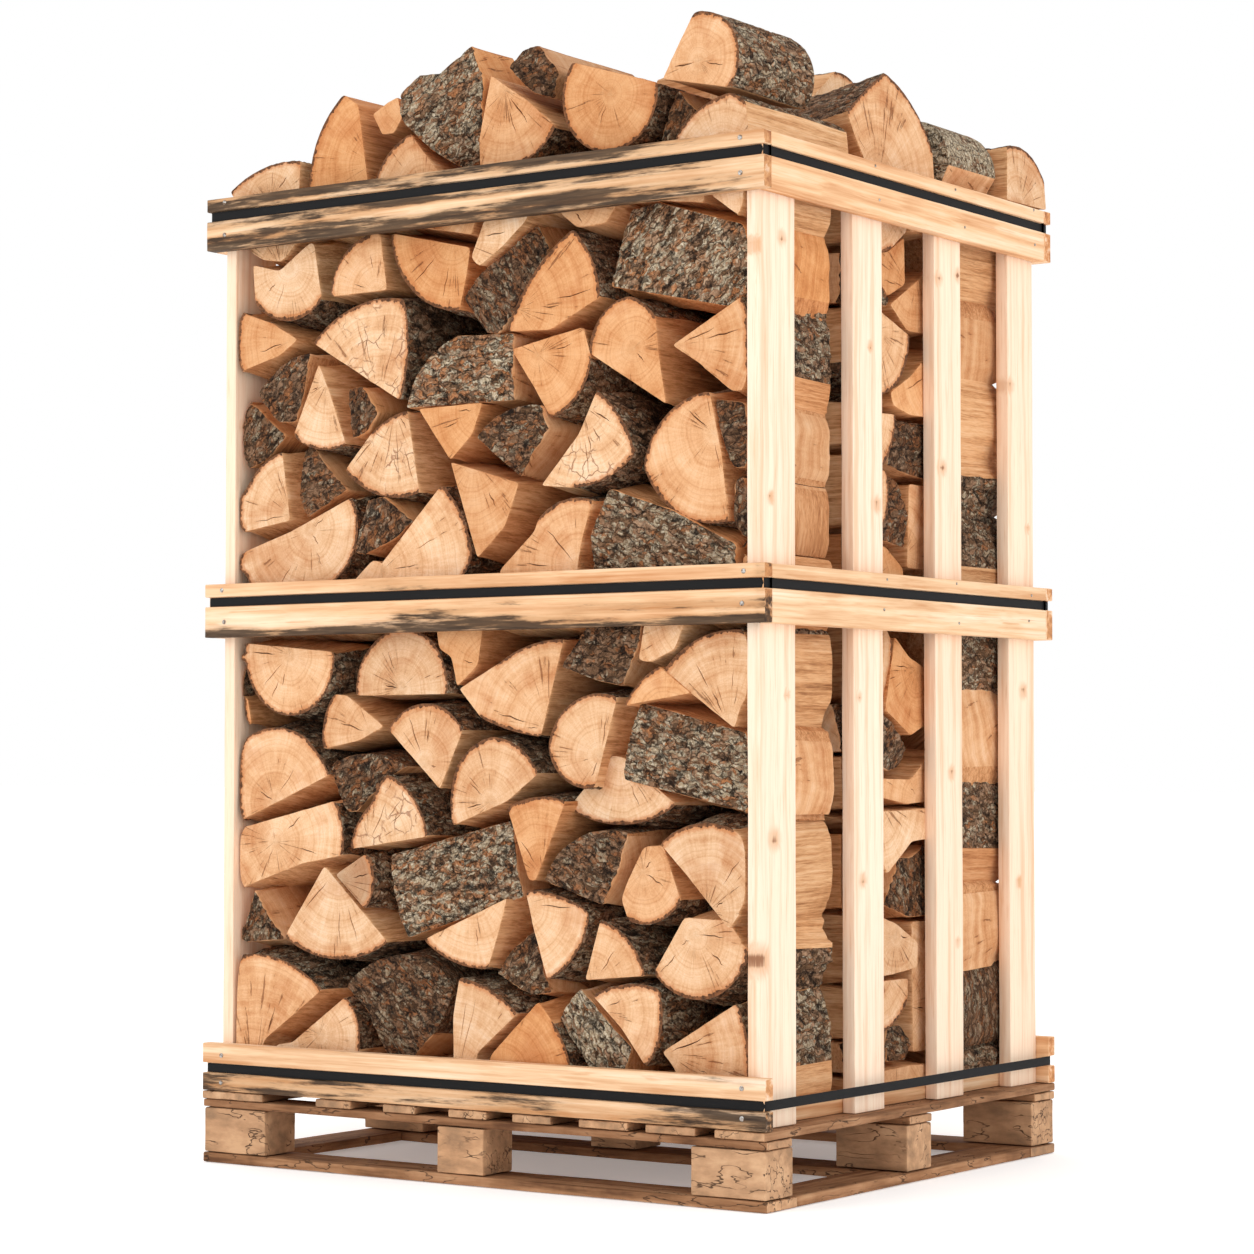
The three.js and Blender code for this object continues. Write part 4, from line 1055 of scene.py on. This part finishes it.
def checks_in(marks, pith, count, rng):
    """Drying cracks as chains of (left, centre, right, depth) that run out from the heart."""
    chains = []
    ahead = np.roll(marks, -1, 0)
    for _ in range(count * 3):
        if len(chains) == count:
            break
        target = marks[rng.randrange(len(marks))]
        way = target - pith
        reach = float(np.hypot(*way))
        if reach < 0.04:
            continue
        way = way / reach
        side = np.array((-way[1], way[0]))
        first = rng.uniform(0.05, 0.5)
        last = rng.uniform(first + 0.2, 0.9)
        width = rng.uniform(0.0006, 0.0014)
        spots = []
        for part in range(6):
            share = first + (last - first) * part / 5
            spots.append(pith + way * reach * share + side * rng.uniform(-0.0016, 0.0016))
        line = np.array(spots)
        if not inside(line, marks).all() or gap_to(line, marks, ahead).min() < 0.005:
            continue
        if any(np.hypot(*(a - b[1])) < 0.008 for a in spots for chain in chains for b in chain):
            continue
        chain = []
        for part, spot in enumerate(spots):
            swell = math.sin(math.pi * min(1.0, max(0.0, part / 5)))
            half = side * (width * swell + 0.0001)
            chain.append((spot + half, spot, spot - half, 0.006 * swell))
        chains.append(chain)
    return chains


def split_log(stock, corners, place, kind, seed, length=LOG_LENGTH, step=0.007, depths=None,
              slope=0.0, dome=0.25, lean=(0.0, 0.0), swell=0.0, reach=None, both_ends=False):
    """A log behind its outline, from the near end at depth 0 along the depth of its place.

    place turns (across, up, depth) into the crate's own directions. A log that lies across
    shows its bark instead of its end: slope is then the way its grain runs. A log swells behind
    its end by that much, but no further across than the reach.
    """
    rng = random.Random(seed)
    number = rng.uniform(0, 90)
    light, warmth, grey, check_range = LOOKS[kind]
    tone = tuple(
        max(0.0, min(1.0, rng.gauss(middle, spread))) for middle, spread in (light, warmth, grey)
    )
    coat = COATS.get(kind, (0.45, 0.4, 0.3))
    coat = tuple(max(0.0, min(1.0, share + rng.uniform(-0.12, 0.12))) for share in coat)
    marks, barked = trace(corners, step)
    if reach:
        marks = ease_flank(marks, reach, random.Random(f"flank {seed}"))
    count = len(marks)
    ahead = np.roll(marks, -1, 0)
    tangent = ahead - np.roll(marks, 1, 0)
    tangent /= np.hypot(tangent[:, 0], tangent[:, 1])[:, None] + 1e-9
    outward = np.stack((-tangent[:, 1], tangent[:, 0]), 1)
    run = np.concatenate(((0,), np.cumsum(np.hypot(*(ahead - marks).T))))[:count]
    pith = heart(marks, corners, rng)
    faces_bark = kind in (DARK, PALE_BARK, CROSS)
    lies_across = faces_bark or kind == SPLIT
    axis = np.array((math.cos(math.radians(slope)), math.sin(math.radians(slope))))
    cross_axis = np.array((-axis[1], axis[0]))
    centre = marks.mean(0)
    half_width = float(np.abs((marks - centre) @ cross_axis).max()) + 1e-4
    tilt = (rng.uniform(-0.05, 0.05), rng.uniform(-0.05, 0.05))
    turned = place.to_3x3().determinant() > 0

    def surface(spot):
        """How far back the near face lies at a spot across it."""
        off = spot - centre
        if not lies_across:
            rough = 0.0007 * noise.noise(Vector((spot[0] * 90, spot[1] * 90, number)))
            return float(off @ np.array(tilt)) + rough, 1.0
        share = float(off @ cross_axis) / half_width
        fall = dome * half_width * (1 - math.sqrt(max(0.0, 1 - 0.94 * share * share)))
        if kind == SPLIT:
            around, along = float(off @ cross_axis), float(off @ axis)
            return fall + 0.003 * noise.noise(Vector((around * 60, along * 8, number))), 1.0
        # The bark's fissures sink into the face, and where the plate is low the bark finish also
        # paints shade.
        plate = fissures(float(off @ cross_axis), float(off @ axis), number)
        return fall + 0.0045 * (1 - plate), plate

    def grain_at(spot, depth):
        if lies_across:
            off = spot - centre
            return (float(off @ cross_axis), depth + 0.08, float(off @ axis) + number)
        off = spot - pith
        return (float(off[0]), float(off[1]), depth + number)

    def put(spot, depth, plate, rim):
        across, up = (float(spot[side] + lean[side] * depth) for side in range(2))
        at = place @ Vector((across, up, depth))
        return stock.add(
            tuple(at), grain=grain_at(spot, depth), tone=tone, coat=coat, relief=plate, rim=rim,
            checked=1.0 if kind == CRACKED else 0.0,
        )

    def flip(face):
        return face[::-1] if turned else face

    def close(ring_marks, far, fine):
        """Fills an end with triangles, with checks cut into it, and gives its rim's vertices."""
        spots = [Vector(mark) for mark in ring_marks]
        edges = []
        sunk = {}
        if fine:
            chains = checks_in(ring_marks, pith, rng.randint(*check_range), rng)
            for chain in chains:
                for part, (left, middle, right, deep) in enumerate(chain):
                    if part < len(chain) - 1:
                        edges += [(len(spots) + side, len(spots) + side + 3) for side in range(3)]
                    sunk[len(spots) + 1] = deep
                    spots += [Vector(left), Vector(middle), Vector(right)]
            lowest, highest = ring_marks.min(0), ring_marks.max(0)
            grid = np.stack(np.meshgrid(*(np.arange(lo + step / 2, hi, step)
                                          for lo, hi in zip(lowest, highest))), -1).reshape(-1, 2)
            grid += np.array([[rng.uniform(-0.3, 0.3) * step for _ in range(2)] for _ in grid])
            grid = grid[inside(grid, ring_marks)]
            if len(grid):
                grid = grid[gap_to(grid, ring_marks, np.roll(ring_marks, -1, 0)) > step * 0.55]
            if chains and len(grid):
                taken = np.array([spot for chain in chains for row in chain for spot in row[:3]])
                near = np.sqrt(((grid[:, None] - taken[None]) ** 2).sum(2)).min(1)
                grid = grid[near > step * 0.5]
            spots += [Vector(spot) for spot in grid]
        border = list(range(count))[::-1]
        made, _, triangles, sources, _, _ = delaunay_2d_cdt(spots, edges, [border], 1, 1e-7)
        flats = np.array([(spot.x, spot.y) for spot in made])
        bark_starts, bark_ends = marks[barked], ahead[barked]
        rims = gap_to(flats, bark_starts, bark_ends) if barked.any() else np.full(len(flats), 0.05)
        rim_of = {}
        numbers = []
        for index, spot in enumerate(flats):
            source = sources[index][0] if sources[index] else -1
            depth, plate = surface(spot)
            deep = sunk.get(source, 0.0)
            # A check sinks into the end, and its relief of 0 makes the end-grain finish paint shade
            # down in it.
            if deep:
                depth += deep
                plate = 0.0
            on_rim = 0 <= source < count
            if far:
                depth = length - 0.3 * depth
            numbers.append(put(spot, depth, plate, float(rims[index])))
            if on_rim:
                for each in sources[index]:
                    if each < count:
                        rim_of[each] = numbers[-1]
        finish = BARK if faces_bark else RIVEN if kind == SPLIT else CUT
        if far and lies_across:
            finish = RIVEN
        for triangle in triangles:
            face = tuple(numbers[corner] for corner in triangle)
            stock.face(flip(face[::-1] if far else face), finish)
        return rim_of

    lip = 0.0013
    rim_of = close(marks - outward * lip, False, True)
    first = [surface(mark)[0] for mark in marks]
    levels = depths or [0.0018, 0.008, 0.016, 0.026, 0.038, 0.053, 0.07, 0.092, 0.12, 0.16, 0.21]
    levels = [level for level in levels if level < length - 0.004] + [length - 0.0018]
    rings = []
    for level in levels:
        ring = []
        for index in range(count):
            depth = level + first[index] * (1 - level / length)
            spot = marks[index]
            # Bark sinks into its fissures where the plate is low, and the bark finish also paints
            # shade there.
            if barked[index] and not lies_across:
                plate = fissures(run[index], depth, number)
                push = -0.0042 * (1 - plate)
            else:
                plate = 1.0
                ridge = noise.noise(Vector((run[index] * 42, depth * 7, number + 5)))
                splinter = noise.noise(Vector((run[index] * 150, depth * 16, number + 8)))
                push = 0.0022 * ridge + 0.0008 * splinter - 0.001
            push *= min(1.0, (0.7 if barked[index] else 0.35) + level / 0.01)
            growth = swell * min(1.0, max(0.0, (level - 0.02) / 0.07))
            sideways = outward[index][0]
            if reach and sideways * spot[0] > 0:
                if abs(spot[0]) > reach - 0.03:
                    growth *= 1 - abs(sideways)
                push = min(push + growth, (reach - abs(spot[0])) / max(abs(sideways), 0.05))
            else:
                push += growth
            rim = 0.0 if barked[index] else 0.05
            ring.append(put(spot + outward[index] * push, depth, plate, rim))
        rings.append(ring)
    near_rim = [rim_of.get(index) for index in range(count)]
    side_finish = []
    for index in range(count):
        if lies_across and not barked[index]:
            facing = abs(float(outward[index] @ axis))
            side_finish.append(CUT if facing > 0.75 else RIVEN)
        else:
            side_finish.append(BARK if barked[index] else RIVEN)
    far_rim = {}
    if both_ends:
        far_rim = close(marks - outward * lip, True, True)
    loops = [near_rim, *rings]
    if far_rim:
        loops.append([far_rim.get(index) for index in range(count)])
    for lower, upper in zip(loops, loops[1:]):
        for index in range(count):
            after = (index + 1) % count
            face = (lower[index], lower[after], upper[after], upper[index])
            if None not in face:
                stock.face(flip(face), side_finish[index])
    if not far_rim:
        stock.face(flip(tuple(rings[-1])), RIVEN)


def facing(across, up, depth, origin):
    """The place of a log whose outline's across and up, and whose depth, run those ways."""
    place = Matrix.Identity(4)
    for column, way in enumerate((across, up, depth)):
        place.col[column][:3] = way
    place.translation = origin
    return place


ALL_ALONG = [0.0018 + 0.009 * part for part in range(40)]
X, Y, Z = Vector((1, 0, 0)), Vector((0, 1, 0)), Vector((0, 0, 1))
BAND = 15
for first in range(0, len(FRONT_LOGS), BAND):
    stock = Stock()
    for number in range(first, min(first + BAND, len(FRONT_LOGS))):
        kind, *corners = FRONT_LOGS[number]
        rng = random.Random(f"front {number}")
        back = rng.uniform(0.0, 0.016) + SET_BACK.get(number, 0.0)
        at_side = max(abs(corner[0]) for corner in corners) > 500
        place = facing(X, Z, Y, Vector((0, FRONT_FACE + back, 0)))
        split_log(
            stock, corners, place, kind, f"front {number}",
            length=LOG_LENGTH - back, step=0.006 if kind in (CROSS, DARK, PALE_BARK) else 0.008,
            depths=ALL_ALONG if at_side else None, slope=BARK_SLOPES.get(number, 0), dome=0.25,
            lean=(rng.uniform(-0.02, 0.02), rng.uniform(-0.03, 0.03)),
            swell=0.014 if at_side else 0.009, reach=SIDE_FACE,
        )
    stock.make(f"front_logs_{first // BAND + 1}", ["stack_front_row"], log_finishes)


# ---- Middle row of logs ----
# The middle row lies the other way, so its cut ends face the crate's two slatted sides.
# Two pairs of logs lie end to end across the crate.
ROW_MIDDLE = -10
SIDE_LOGS = [
    (END, (-160, 985, 0), (-40, 985, 0), (12, 930, 10), (-22, 818, 0), (-120, 830, 0)),
    (ORANGE, (-25, 810, 0), (0, 880, 0), (20, 940, 0), (70, 905, 0), (150, 880, 0), (140, 790, 0),
     (65, 765, 0)),
    (DARK, (-170, 735, 0), (-170, 820, 0), (-60, 815, 0), (0, 790, 0), (68, 745, 0), (60, 712, 0),
     (0, 703, 0), (-90, 740, 0)),
    (END, (-165, 640, 0), (-170, 730, 0), (-60, 732, 10), (-20, 705, 0), (-60, 640, 0)),
    (ORANGE, (-45, 660, 0), (-38, 692, 0), (72, 690, 0), (150, 745, 0), (150, 650, 0),
     (60, 645, 0)),
    (END, (-70, 590, 0), (-165, 625, 0), (-40, 635, 0), (70, 637, 0), (140, 640, 0), (130, 585, 0),
     (60, 580, 0), (-20, 525, 0)),
    (ORANGE, (-160, 470, 0), (-165, 600, 0), (-75, 583, 0), (-24, 520, 0), (-30, 480, 0)),
    (DARK, (0, 470, 0), (5, 500, 0), (30, 555, 0), (70, 552, 0), (140, 575, 0), (150, 450, 0),
     (70, 447, 0)),
    (END, (-150, 345, 0), (-150, 462, 0), (-60, 460, 0), (10, 440, 0), (78, 405, 0), (76, 360, 0),
     (0, 352, 0)),
    (END, (-160, 250, 0), (-150, 338, 0), (-50, 342, 0), (75, 342, 0), (70, 300, 10),
     (-60, 250, 0)),
    (DARK, (-20, 240, 0), (0, 262, 0), (50, 262, 0), (75, 225, 0), (60, 200, 0), (0, 200, 0)),
    (DARK, (-160, 192, 0), (-165, 245, 0), (-60, 245, 0), (-25, 235, 0), (-5, 200, 0)),
    (ORANGE, (-160, 133, 0), (-160, 186, 0), (60, 192, 0), (150, 188, 0), (150, 133, 0)),
    (END, (90, 210, 0), (85, 440, 0), (158, 440, 0), (158, 210, 0)),
    (END, (-75, 1600, 0), (-160, 1605, 0), (-160, 1700, 0), (60, 1700, 0), (62, 1655, 0),
     (0, 1615, 6)),
    (ORANGE, (-80, 1580, 0), (-75, 1598, 0), (0, 1612, 0), (58, 1645, 0), (62, 1560, 0),
     (0, 1532, 0), (-40, 1562, 0)),
    (DARK, (-170, 1500, 0), (-170, 1590, 0), (-80, 1576, 0), (-45, 1555, 0), (-4, 1528, 0),
     (-10, 1512, 0), (-80, 1512, 0)),
    (END, (-165, 1400, 0), (-165, 1495, 0), (-60, 1510, 0), (62, 1470, 22), (-60, 1355, 8)),
    (ORANGE, (10, 1520, 0), (62, 1550, 0), (150, 1600, 0), (155, 1480, 0), (66, 1478, 0)),
    (ORANGE, (0, 1340, 0), (-10, 1363, 0), (66, 1400, 0), (150, 1460, 0), (150, 1330, 0),
     (60, 1328, 0)),
    (END, (-165, 1260, 0), (-165, 1335, 0), (-70, 1325, 0), (20, 1327, 10), (-25, 1235, 0)),
    (DARK, (-15, 1236, 0), (25, 1322, 0), (62, 1318, 0), (150, 1320, 0), (150, 1220, 0),
     (62, 1225, 0)),
    (END, (-160, 1120, 0), (-165, 1245, 0), (-75, 1228, 0), (-20, 1225, 14), (-45, 1115, 0)),
    (DARK, (-40, 1105, 0), (-12, 1228, 0), (30, 1210, 0), (65, 1150, 0), (63, 1095, 0)),
    (ORANGE, (72, 1060, 0), (72, 1210, 0), (155, 1210, 0), (155, 1060, 0)),
    (ORANGE, (-160, 1000, 0), (-160, 1110, 0), (-50, 1098, 0), (0, 1095, 0), (62, 1060, 0),
     (65, 1000, 0)),
    (END, (72, 1655, 0), (72, 1742, 0), (155, 1742, 0), (155, 1655, 0)),
    (END, (-160, 1708, 0), (-160, 1742, 0), (62, 1742, 0), (62, 1708, 0)),
]
HALF_LOGS = 14
for side, out in (("right", 1), ("left", -1)):
    for half in range(2):
        stock = Stock()
        for number in range(half * HALF_LOGS, (half + 1) * HALF_LOGS):
            kind, *corners = SIDE_LOGS[number]
            rng = random.Random(f"{side} {number}")
            back = rng.uniform(0.0, 0.016)
            place = facing(Y, Z, -out * X, Vector((out * (SIDE_FACE - back), 0, 0)))
            split_log(
                stock, corners, place, kind, f"{side} {number}",
                length=LOG_LENGTH - back, step=0.008,
                slope=rng.uniform(-60, 60), swell=0.008,
                lean=(rng.uniform(-0.03, 0.03), rng.uniform(-0.03, 0.03)),
            )
        stock.make(
            f"middle_logs_{side}_{half + 1}", ["stack_middle_row"], log_finishes
        )
stock = Stock()
for number, (_, *corners) in enumerate(SIDE_LOGS):
    # The same outlines, turned round, so that no gap runs right through the row
    turned = [
        (ROW_MIDDLE * 2 - corners[index][0], corners[index][1], corners[index - 1][2])
        for index in reversed(range(len(corners)))
    ]
    for out in (1, -1):
        split_log(
            stock, turned, facing(Y, Z, -out * X, Vector((out * 0.274, 0, 0))), END,
            f"inner {out} {number}", length=0.27, step=0.03, depths=[0.01, 0.05, 0.12], swell=0.012,
        )
stock.make("middle_logs_inner", ["stack_middle_row"], log_finishes)


# ---- Rear row of logs ----
# The rear row is stacked like the front one, with its cut ends to the back of the crate.
REAR_FACE = 0.4715
STACK_BOTTOM, STACK_SPLIT, STACK_TOP = 133, 1003, 1742


def rear_corners(corners, barked):
    """The outline with its upper and lower half of the stack exchanged, and bark on its flank."""
    moved = []
    for index, (x, z, bulge) in enumerate(corners):
        if barked and min(abs(x), abs(corners[(index + 1) % len(corners)][0])) > 505:
            bulge = max(bulge, 4)
        if z > STACK_SPLIT:
            share = (z - STACK_SPLIT) / (STACK_TOP - STACK_SPLIT)
            height = STACK_BOTTOM + share * (STACK_SPLIT - STACK_BOTTOM)
        else:
            share = (z - STACK_BOTTOM) / (STACK_SPLIT - STACK_BOTTOM)
            height = STACK_SPLIT + share * (STACK_TOP - STACK_SPLIT)
        moved.append((x, height, bulge))
    return moved


REAR_BAND = BAND * 2
for first in range(0, len(FRONT_LOGS), REAR_BAND):
    stock = Stock()
    for number in range(first, min(first + REAR_BAND, len(FRONT_LOGS))):
        kind, *corners = FRONT_LOGS[number]
        rng = random.Random(f"rear {number}")
        back = rng.uniform(0.0, 0.016)
        at_side = max(abs(corner[0]) for corner in corners) > 500
        place = facing(X, Z, -Y, Vector((0, REAR_FACE - back, 0)))
        split_log(
            stock, rear_corners(corners, number % 3 > 0), place, kind, f"rear {number}",
            length=LOG_LENGTH - back, step=0.012 if kind == END else 0.01,
            depths=ALL_ALONG[::2] if at_side else None, slope=BARK_SLOPES.get(number, 0),
            dome=0.25,
            lean=(rng.uniform(-0.02, 0.02), rng.uniform(-0.03, 0.03)),
            swell=0.024 if at_side else 0.015, reach=SIDE_FACE,
        )
    stock.make(
        f"rear_logs_{first // REAR_BAND + 1}", ["stack_rear_row"], log_finishes
    )


# ---- Heap on top ----
# Loose logs are thrown on the stack above the top hoop. They lie as they fell, most with a
# cut end to the front, and the tallest reaches about 25 cm above the rails.
# Each log's name, finish and outline in mm. The front and right ones also have their near and
# far end in mm before it, and the slope of their bark's grain or the way they lean.
HEAP_BACK = [
    ("mound_log_1", END, [(-540, 1700, 0), (-530, 1800, 20), (-392, 1812, 0), (-388, 1700, 0)]),
    ("mound_log_2", ORANGE, [(-380, 1700, 0), (-372, 1832, 14), (-226, 1820, 0), (-216, 1700, 0)]),
    ("mound_log_3", END, [(-208, 1700, 0), (-196, 1812, 22), (-52, 1806, 0), (-40, 1700, 0)]),
    ("mound_log_4", CRACKED, [(-32, 1700, 0), (-20, 1838, 10), (128, 1826, 0), (140, 1700, 0)]),
    ("mound_log_5", END, [(150, 1700, 0), (154, 1800, 24), (230, 1796, 0), (238, 1700, 0)]),
    ("mound_log_6", ORANGE, [(-330, 1820, 0), (-270, 1905, 16), (-140, 1880, 0), (-120, 1800, 0)]),
    ("mound_log_7", END, [(-20, 1826, 0), (20, 1920, 16), (120, 1870, 0), (120, 1818, 0)]),
]
HEAP_MIDDLE = [
    ("mound_log_8", END, [(-148, 1700, 0), (-140, 1830, 16), (-12, 1836, 0), (-4, 1700, 0)]),
    ("mound_log_9", ORANGE, [(4, 1700, 0), (12, 1840, 14), (136, 1832, 0), (150, 1700, 0)]),
]
HEAP_FRONT = [
    ("heap_log_left", END, -455, -165, 0,
     [(-583, 1762, 10), (-415, 1803, 0), (-418, 1744, 0), (-570, 1744, 0)]),
    ("heap_log_tall_left", ORANGE, -450, -155, 0,
     [(-400, 1760, 12), (-322, 1914, 0), (-285, 1890, 0), (-258, 1744, 0), (-395, 1744, 0)]),
    ("heap_chip", ORANGE, -440, -250, 0,
     [(-262, 1872, 0), (-225, 1890, 0), (-202, 1897, 0), (-192, 1858, 0), (-212, 1832, 0),
      (-240, 1832, 0)]),
    ("heap_log_low_left", END, -452, -155, 0, [(-248, 1744, 12), (-166, 1826, 0), (-95, 1744, 0)]),
    ("heap_slab_of_bark", CROSS, -460, -330, 28,
     [(-195, 1900, 0), (-160, 1930, 0), (-100, 1925, 0), (-30, 1966, 0), (2, 1902, 0),
      (-14, 1800, 0), (-28, 1760, 0), (-55, 1750, 0), (-110, 1785, 0), (-184, 1850, 0)]),
    ("heap_log_behind_slab", SPLIT, -325, -160, 20,
     [(-150, 1870, 0), (-150, 1965, 0), (-125, 1985, 0), (-20, 1950, 0), (28, 1925, 0),
      (-2, 1905, 0), (-20, 1870, 0)]),
    ("heap_wedge_middle", END, -455, -155, 0,
     [(-14, 1744, 0), (-14, 1800, 0), (15, 1907, 0), (100, 1850, 0), (157, 1800, 10),
      (70, 1744, 0)]),
    ("heap_log_dark_end", DARK, -445, -155, 20,
     [(40, 1920, 0), (70, 1951, 0), (106, 1951, 0), (150, 1900, 0), (130, 1856, 0), (95, 1868, 0)]),
    ("heap_half_log", ORANGE, -455, -195, 0, [(190, 1908, 0), (364, 1853, 75)]),
    ("heap_log_centre", END, -140, 150, 0,
     [(-20, 1872, 0), (-5, 1935, 22), (110, 1930, 0), (125, 1872, 0)]),
    ("heap_quarter_right", ORANGE, -455, -222, 0,
     [(370, 1857, 0), (398, 1905, 0), (434, 1962, 34), (508, 1826, 0)]),
    ("heap_log_shaded", DARK, -430, -195, 60,
     [(345, 1744, 0), (362, 1800, 0), (382, 1846, 0), (424, 1800, 0), (380, 1744, 0)]),
    ("heap_log_right", END, -455, -136, 0,
     [(395, 1744, 0), (398, 1757, 5), (440, 1797, 5), (508, 1820, 4), (539, 1802, 0),
      (545, 1744, 0)]),
    ("heap_bark_log_rear", PALE_BARK, 162, 338, 0,
     [(400, 1815, 44), (572, 1785, 0), (545, 1744, 0), (400, 1744, 0)]),
]
HEAP_SIDE = [
    ("heap_log_inner", END, 175, 292, (0.0, 0.0),
     [(-188, 1744, 0), (-184, 1925, 0), (-130, 1948, 12), (-70, 1925, 0), (-60, 1744, 0)]),
    ("heap_small_quarter", END, 135, 355, (0.0, 0.0),
     [(44, 1912, 0), (128, 1973, 8), (200, 1964, 0), (212, 1876, 0), (118, 1890, 0)]),
    ("heap_wedge_right", END, 300, 545, (0.2, -0.1),
     [(-138, 1838, 2), (-13, 1926, 10), (143, 1810, 0), (148, 1752, 0), (-80, 1752, 0),
      (-120, 1804, 0)]),
    ("heap_block_rear_right", END, 420, 592, (0.0, 0.0),
     [(345, 1745, 0), (352, 1846, 18), (486, 1798, 0), (488, 1745, 0)]),
]
HEAP_REAR_FACE = 0.468
HEAP_REAR_LENGTH = 0.29
# Near and far ends of the logs that lie in line with the middle row
HEAP_MIDDLE_ENDS = ((-0.543, -0.275), (-0.262, -0.055), (-0.045, 0.17))
for name, kind, corners in HEAP_BACK:
    stock = Stock()
    place = facing(X, Z, -Y, Vector((0, HEAP_REAR_FACE, 0)))
    split_log(stock, corners, place, kind, name, length=HEAP_REAR_LENGTH, step=0.01,
              depths=ALL_ALONG, both_ends=True)
    stock.make(name, ["stack_rear_row"], log_finishes)
for name, kind, corners in HEAP_MIDDLE:
    for part, (near, far) in enumerate(HEAP_MIDDLE_ENDS):
        stock = Stock()
        split_log(stock, corners, facing(Y, Z, X, Vector((near, 0, 0))), kind, f"{name} {part}",
                  length=far - near, step=0.008, depths=ALL_ALONG, both_ends=True)
        stock.make(f"{name}_{part + 1}", ["stack_middle_row"], log_finishes)
HEAP_RINGS = [0.0018 + 0.007 * part for part in range(60)]
for name, kind, near, far, slope, corners in HEAP_FRONT:
    stock = Stock()
    place = facing(X, Z, Y, Vector((0, near / 1000, 0)))
    split_log(stock, corners, place, kind, name, length=(far - near) / 1000, step=0.006,
              depths=HEAP_RINGS, slope=slope, dome=0.5, both_ends=True)
    stock.make(name.replace("heap_", "top_"), [name], log_finishes)
for name, kind, near, far, lean, corners in HEAP_SIDE:
    stock = Stock()
    place = facing(Y, Z, -X, Vector((far / 1000, 0, 0)))
    split_log(stock, corners, place, kind, name, length=(far - near) / 1000, step=0.006,
              depths=HEAP_RINGS, lean=lean, both_ends=True)
    stock.make(name.replace("heap_", "top_"), [name], log_finishes)


# ---- Floor, lights and camera ----
# A plain white floor runs away on all sides. One broad soft light stands in front, one to the
# right, and the white surroundings fill the shadows.
floor_finish = Finish("floor_white", 0.0)
floor_place = floor_finish.node("ShaderNodeTexCoord", {}, {}, "Object")
floor_shade = floor_finish.cloud(floor_place, 0.6, 1.0)
floor_finish.wear(
    floor_finish.ramp(floor_shade, (0.3, paint(252, 252, 252)), (0.7, paint(255, 255, 255))),
    0.9 + floor_shade * 0.05, floor_shade, 0.0001,
)
floor_finish.shader.inputs["Emission Color"].default_value = (1, 1, 1, 1)
floor_finish.shader.inputs["Emission Strength"].default_value = 0.22
FLOOR_REACH = 60.0
floor_mesh = bpy.data.meshes.new("floor")
floor_mesh.from_pydata(
    [(x * FLOOR_REACH, y * FLOOR_REACH, -0.0005) for x, y in ((-1, -1), (1, -1), (1, 1), (-1, 1))],
    [], [(0, 1, 2, 3)],
)
floor_mesh.materials.append(floor_finish.material)
floor = bpy.data.objects.new("floor", floor_mesh)
bpy.context.scene.collection.objects.link(floor)

surroundings = bpy.data.worlds.new("surroundings")
surroundings.use_nodes = True
surroundings.node_tree.nodes["Background"].inputs["Color"].default_value = (1, 1, 1, 1)
surroundings.node_tree.nodes["Background"].inputs["Strength"].default_value = 1.0
bpy.context.scene.world = surroundings
bpy.context.scene.view_settings.view_transform = "Standard"


def soft_light(name, at, size, watts):
    """A broad square light that looks at the middle of the crate."""
    lamp = bpy.data.lights.new(name, "AREA")
    lamp.size = size
    lamp.energy = watts
    holder = bpy.data.objects.new(name, lamp)
    holder.location = at
    holder.rotation_euler = (Vector((0, 0, 1)) - Vector(at)).to_track_quat("-Z", "Y").to_euler()
    bpy.context.scene.collection.objects.link(holder)


soft_light("front_light", (-1.6, -4.2, 2.6), 2.2, 36)
soft_light("side_light", (4.4, -1.4, 2.4), 2.2, 30)

lens = bpy.data.cameras.new("camera")
lens.lens = 94.14
lens.sensor_width = 36.0
camera = bpy.data.objects.new("camera", lens)
camera.location = (3.413, -4.947, 0.724)
camera.rotation_euler = (math.radians(92.313), 0.0, math.radians(34.717))
bpy.context.scene.collection.objects.link(camera)
bpy.context.scene.camera = camera
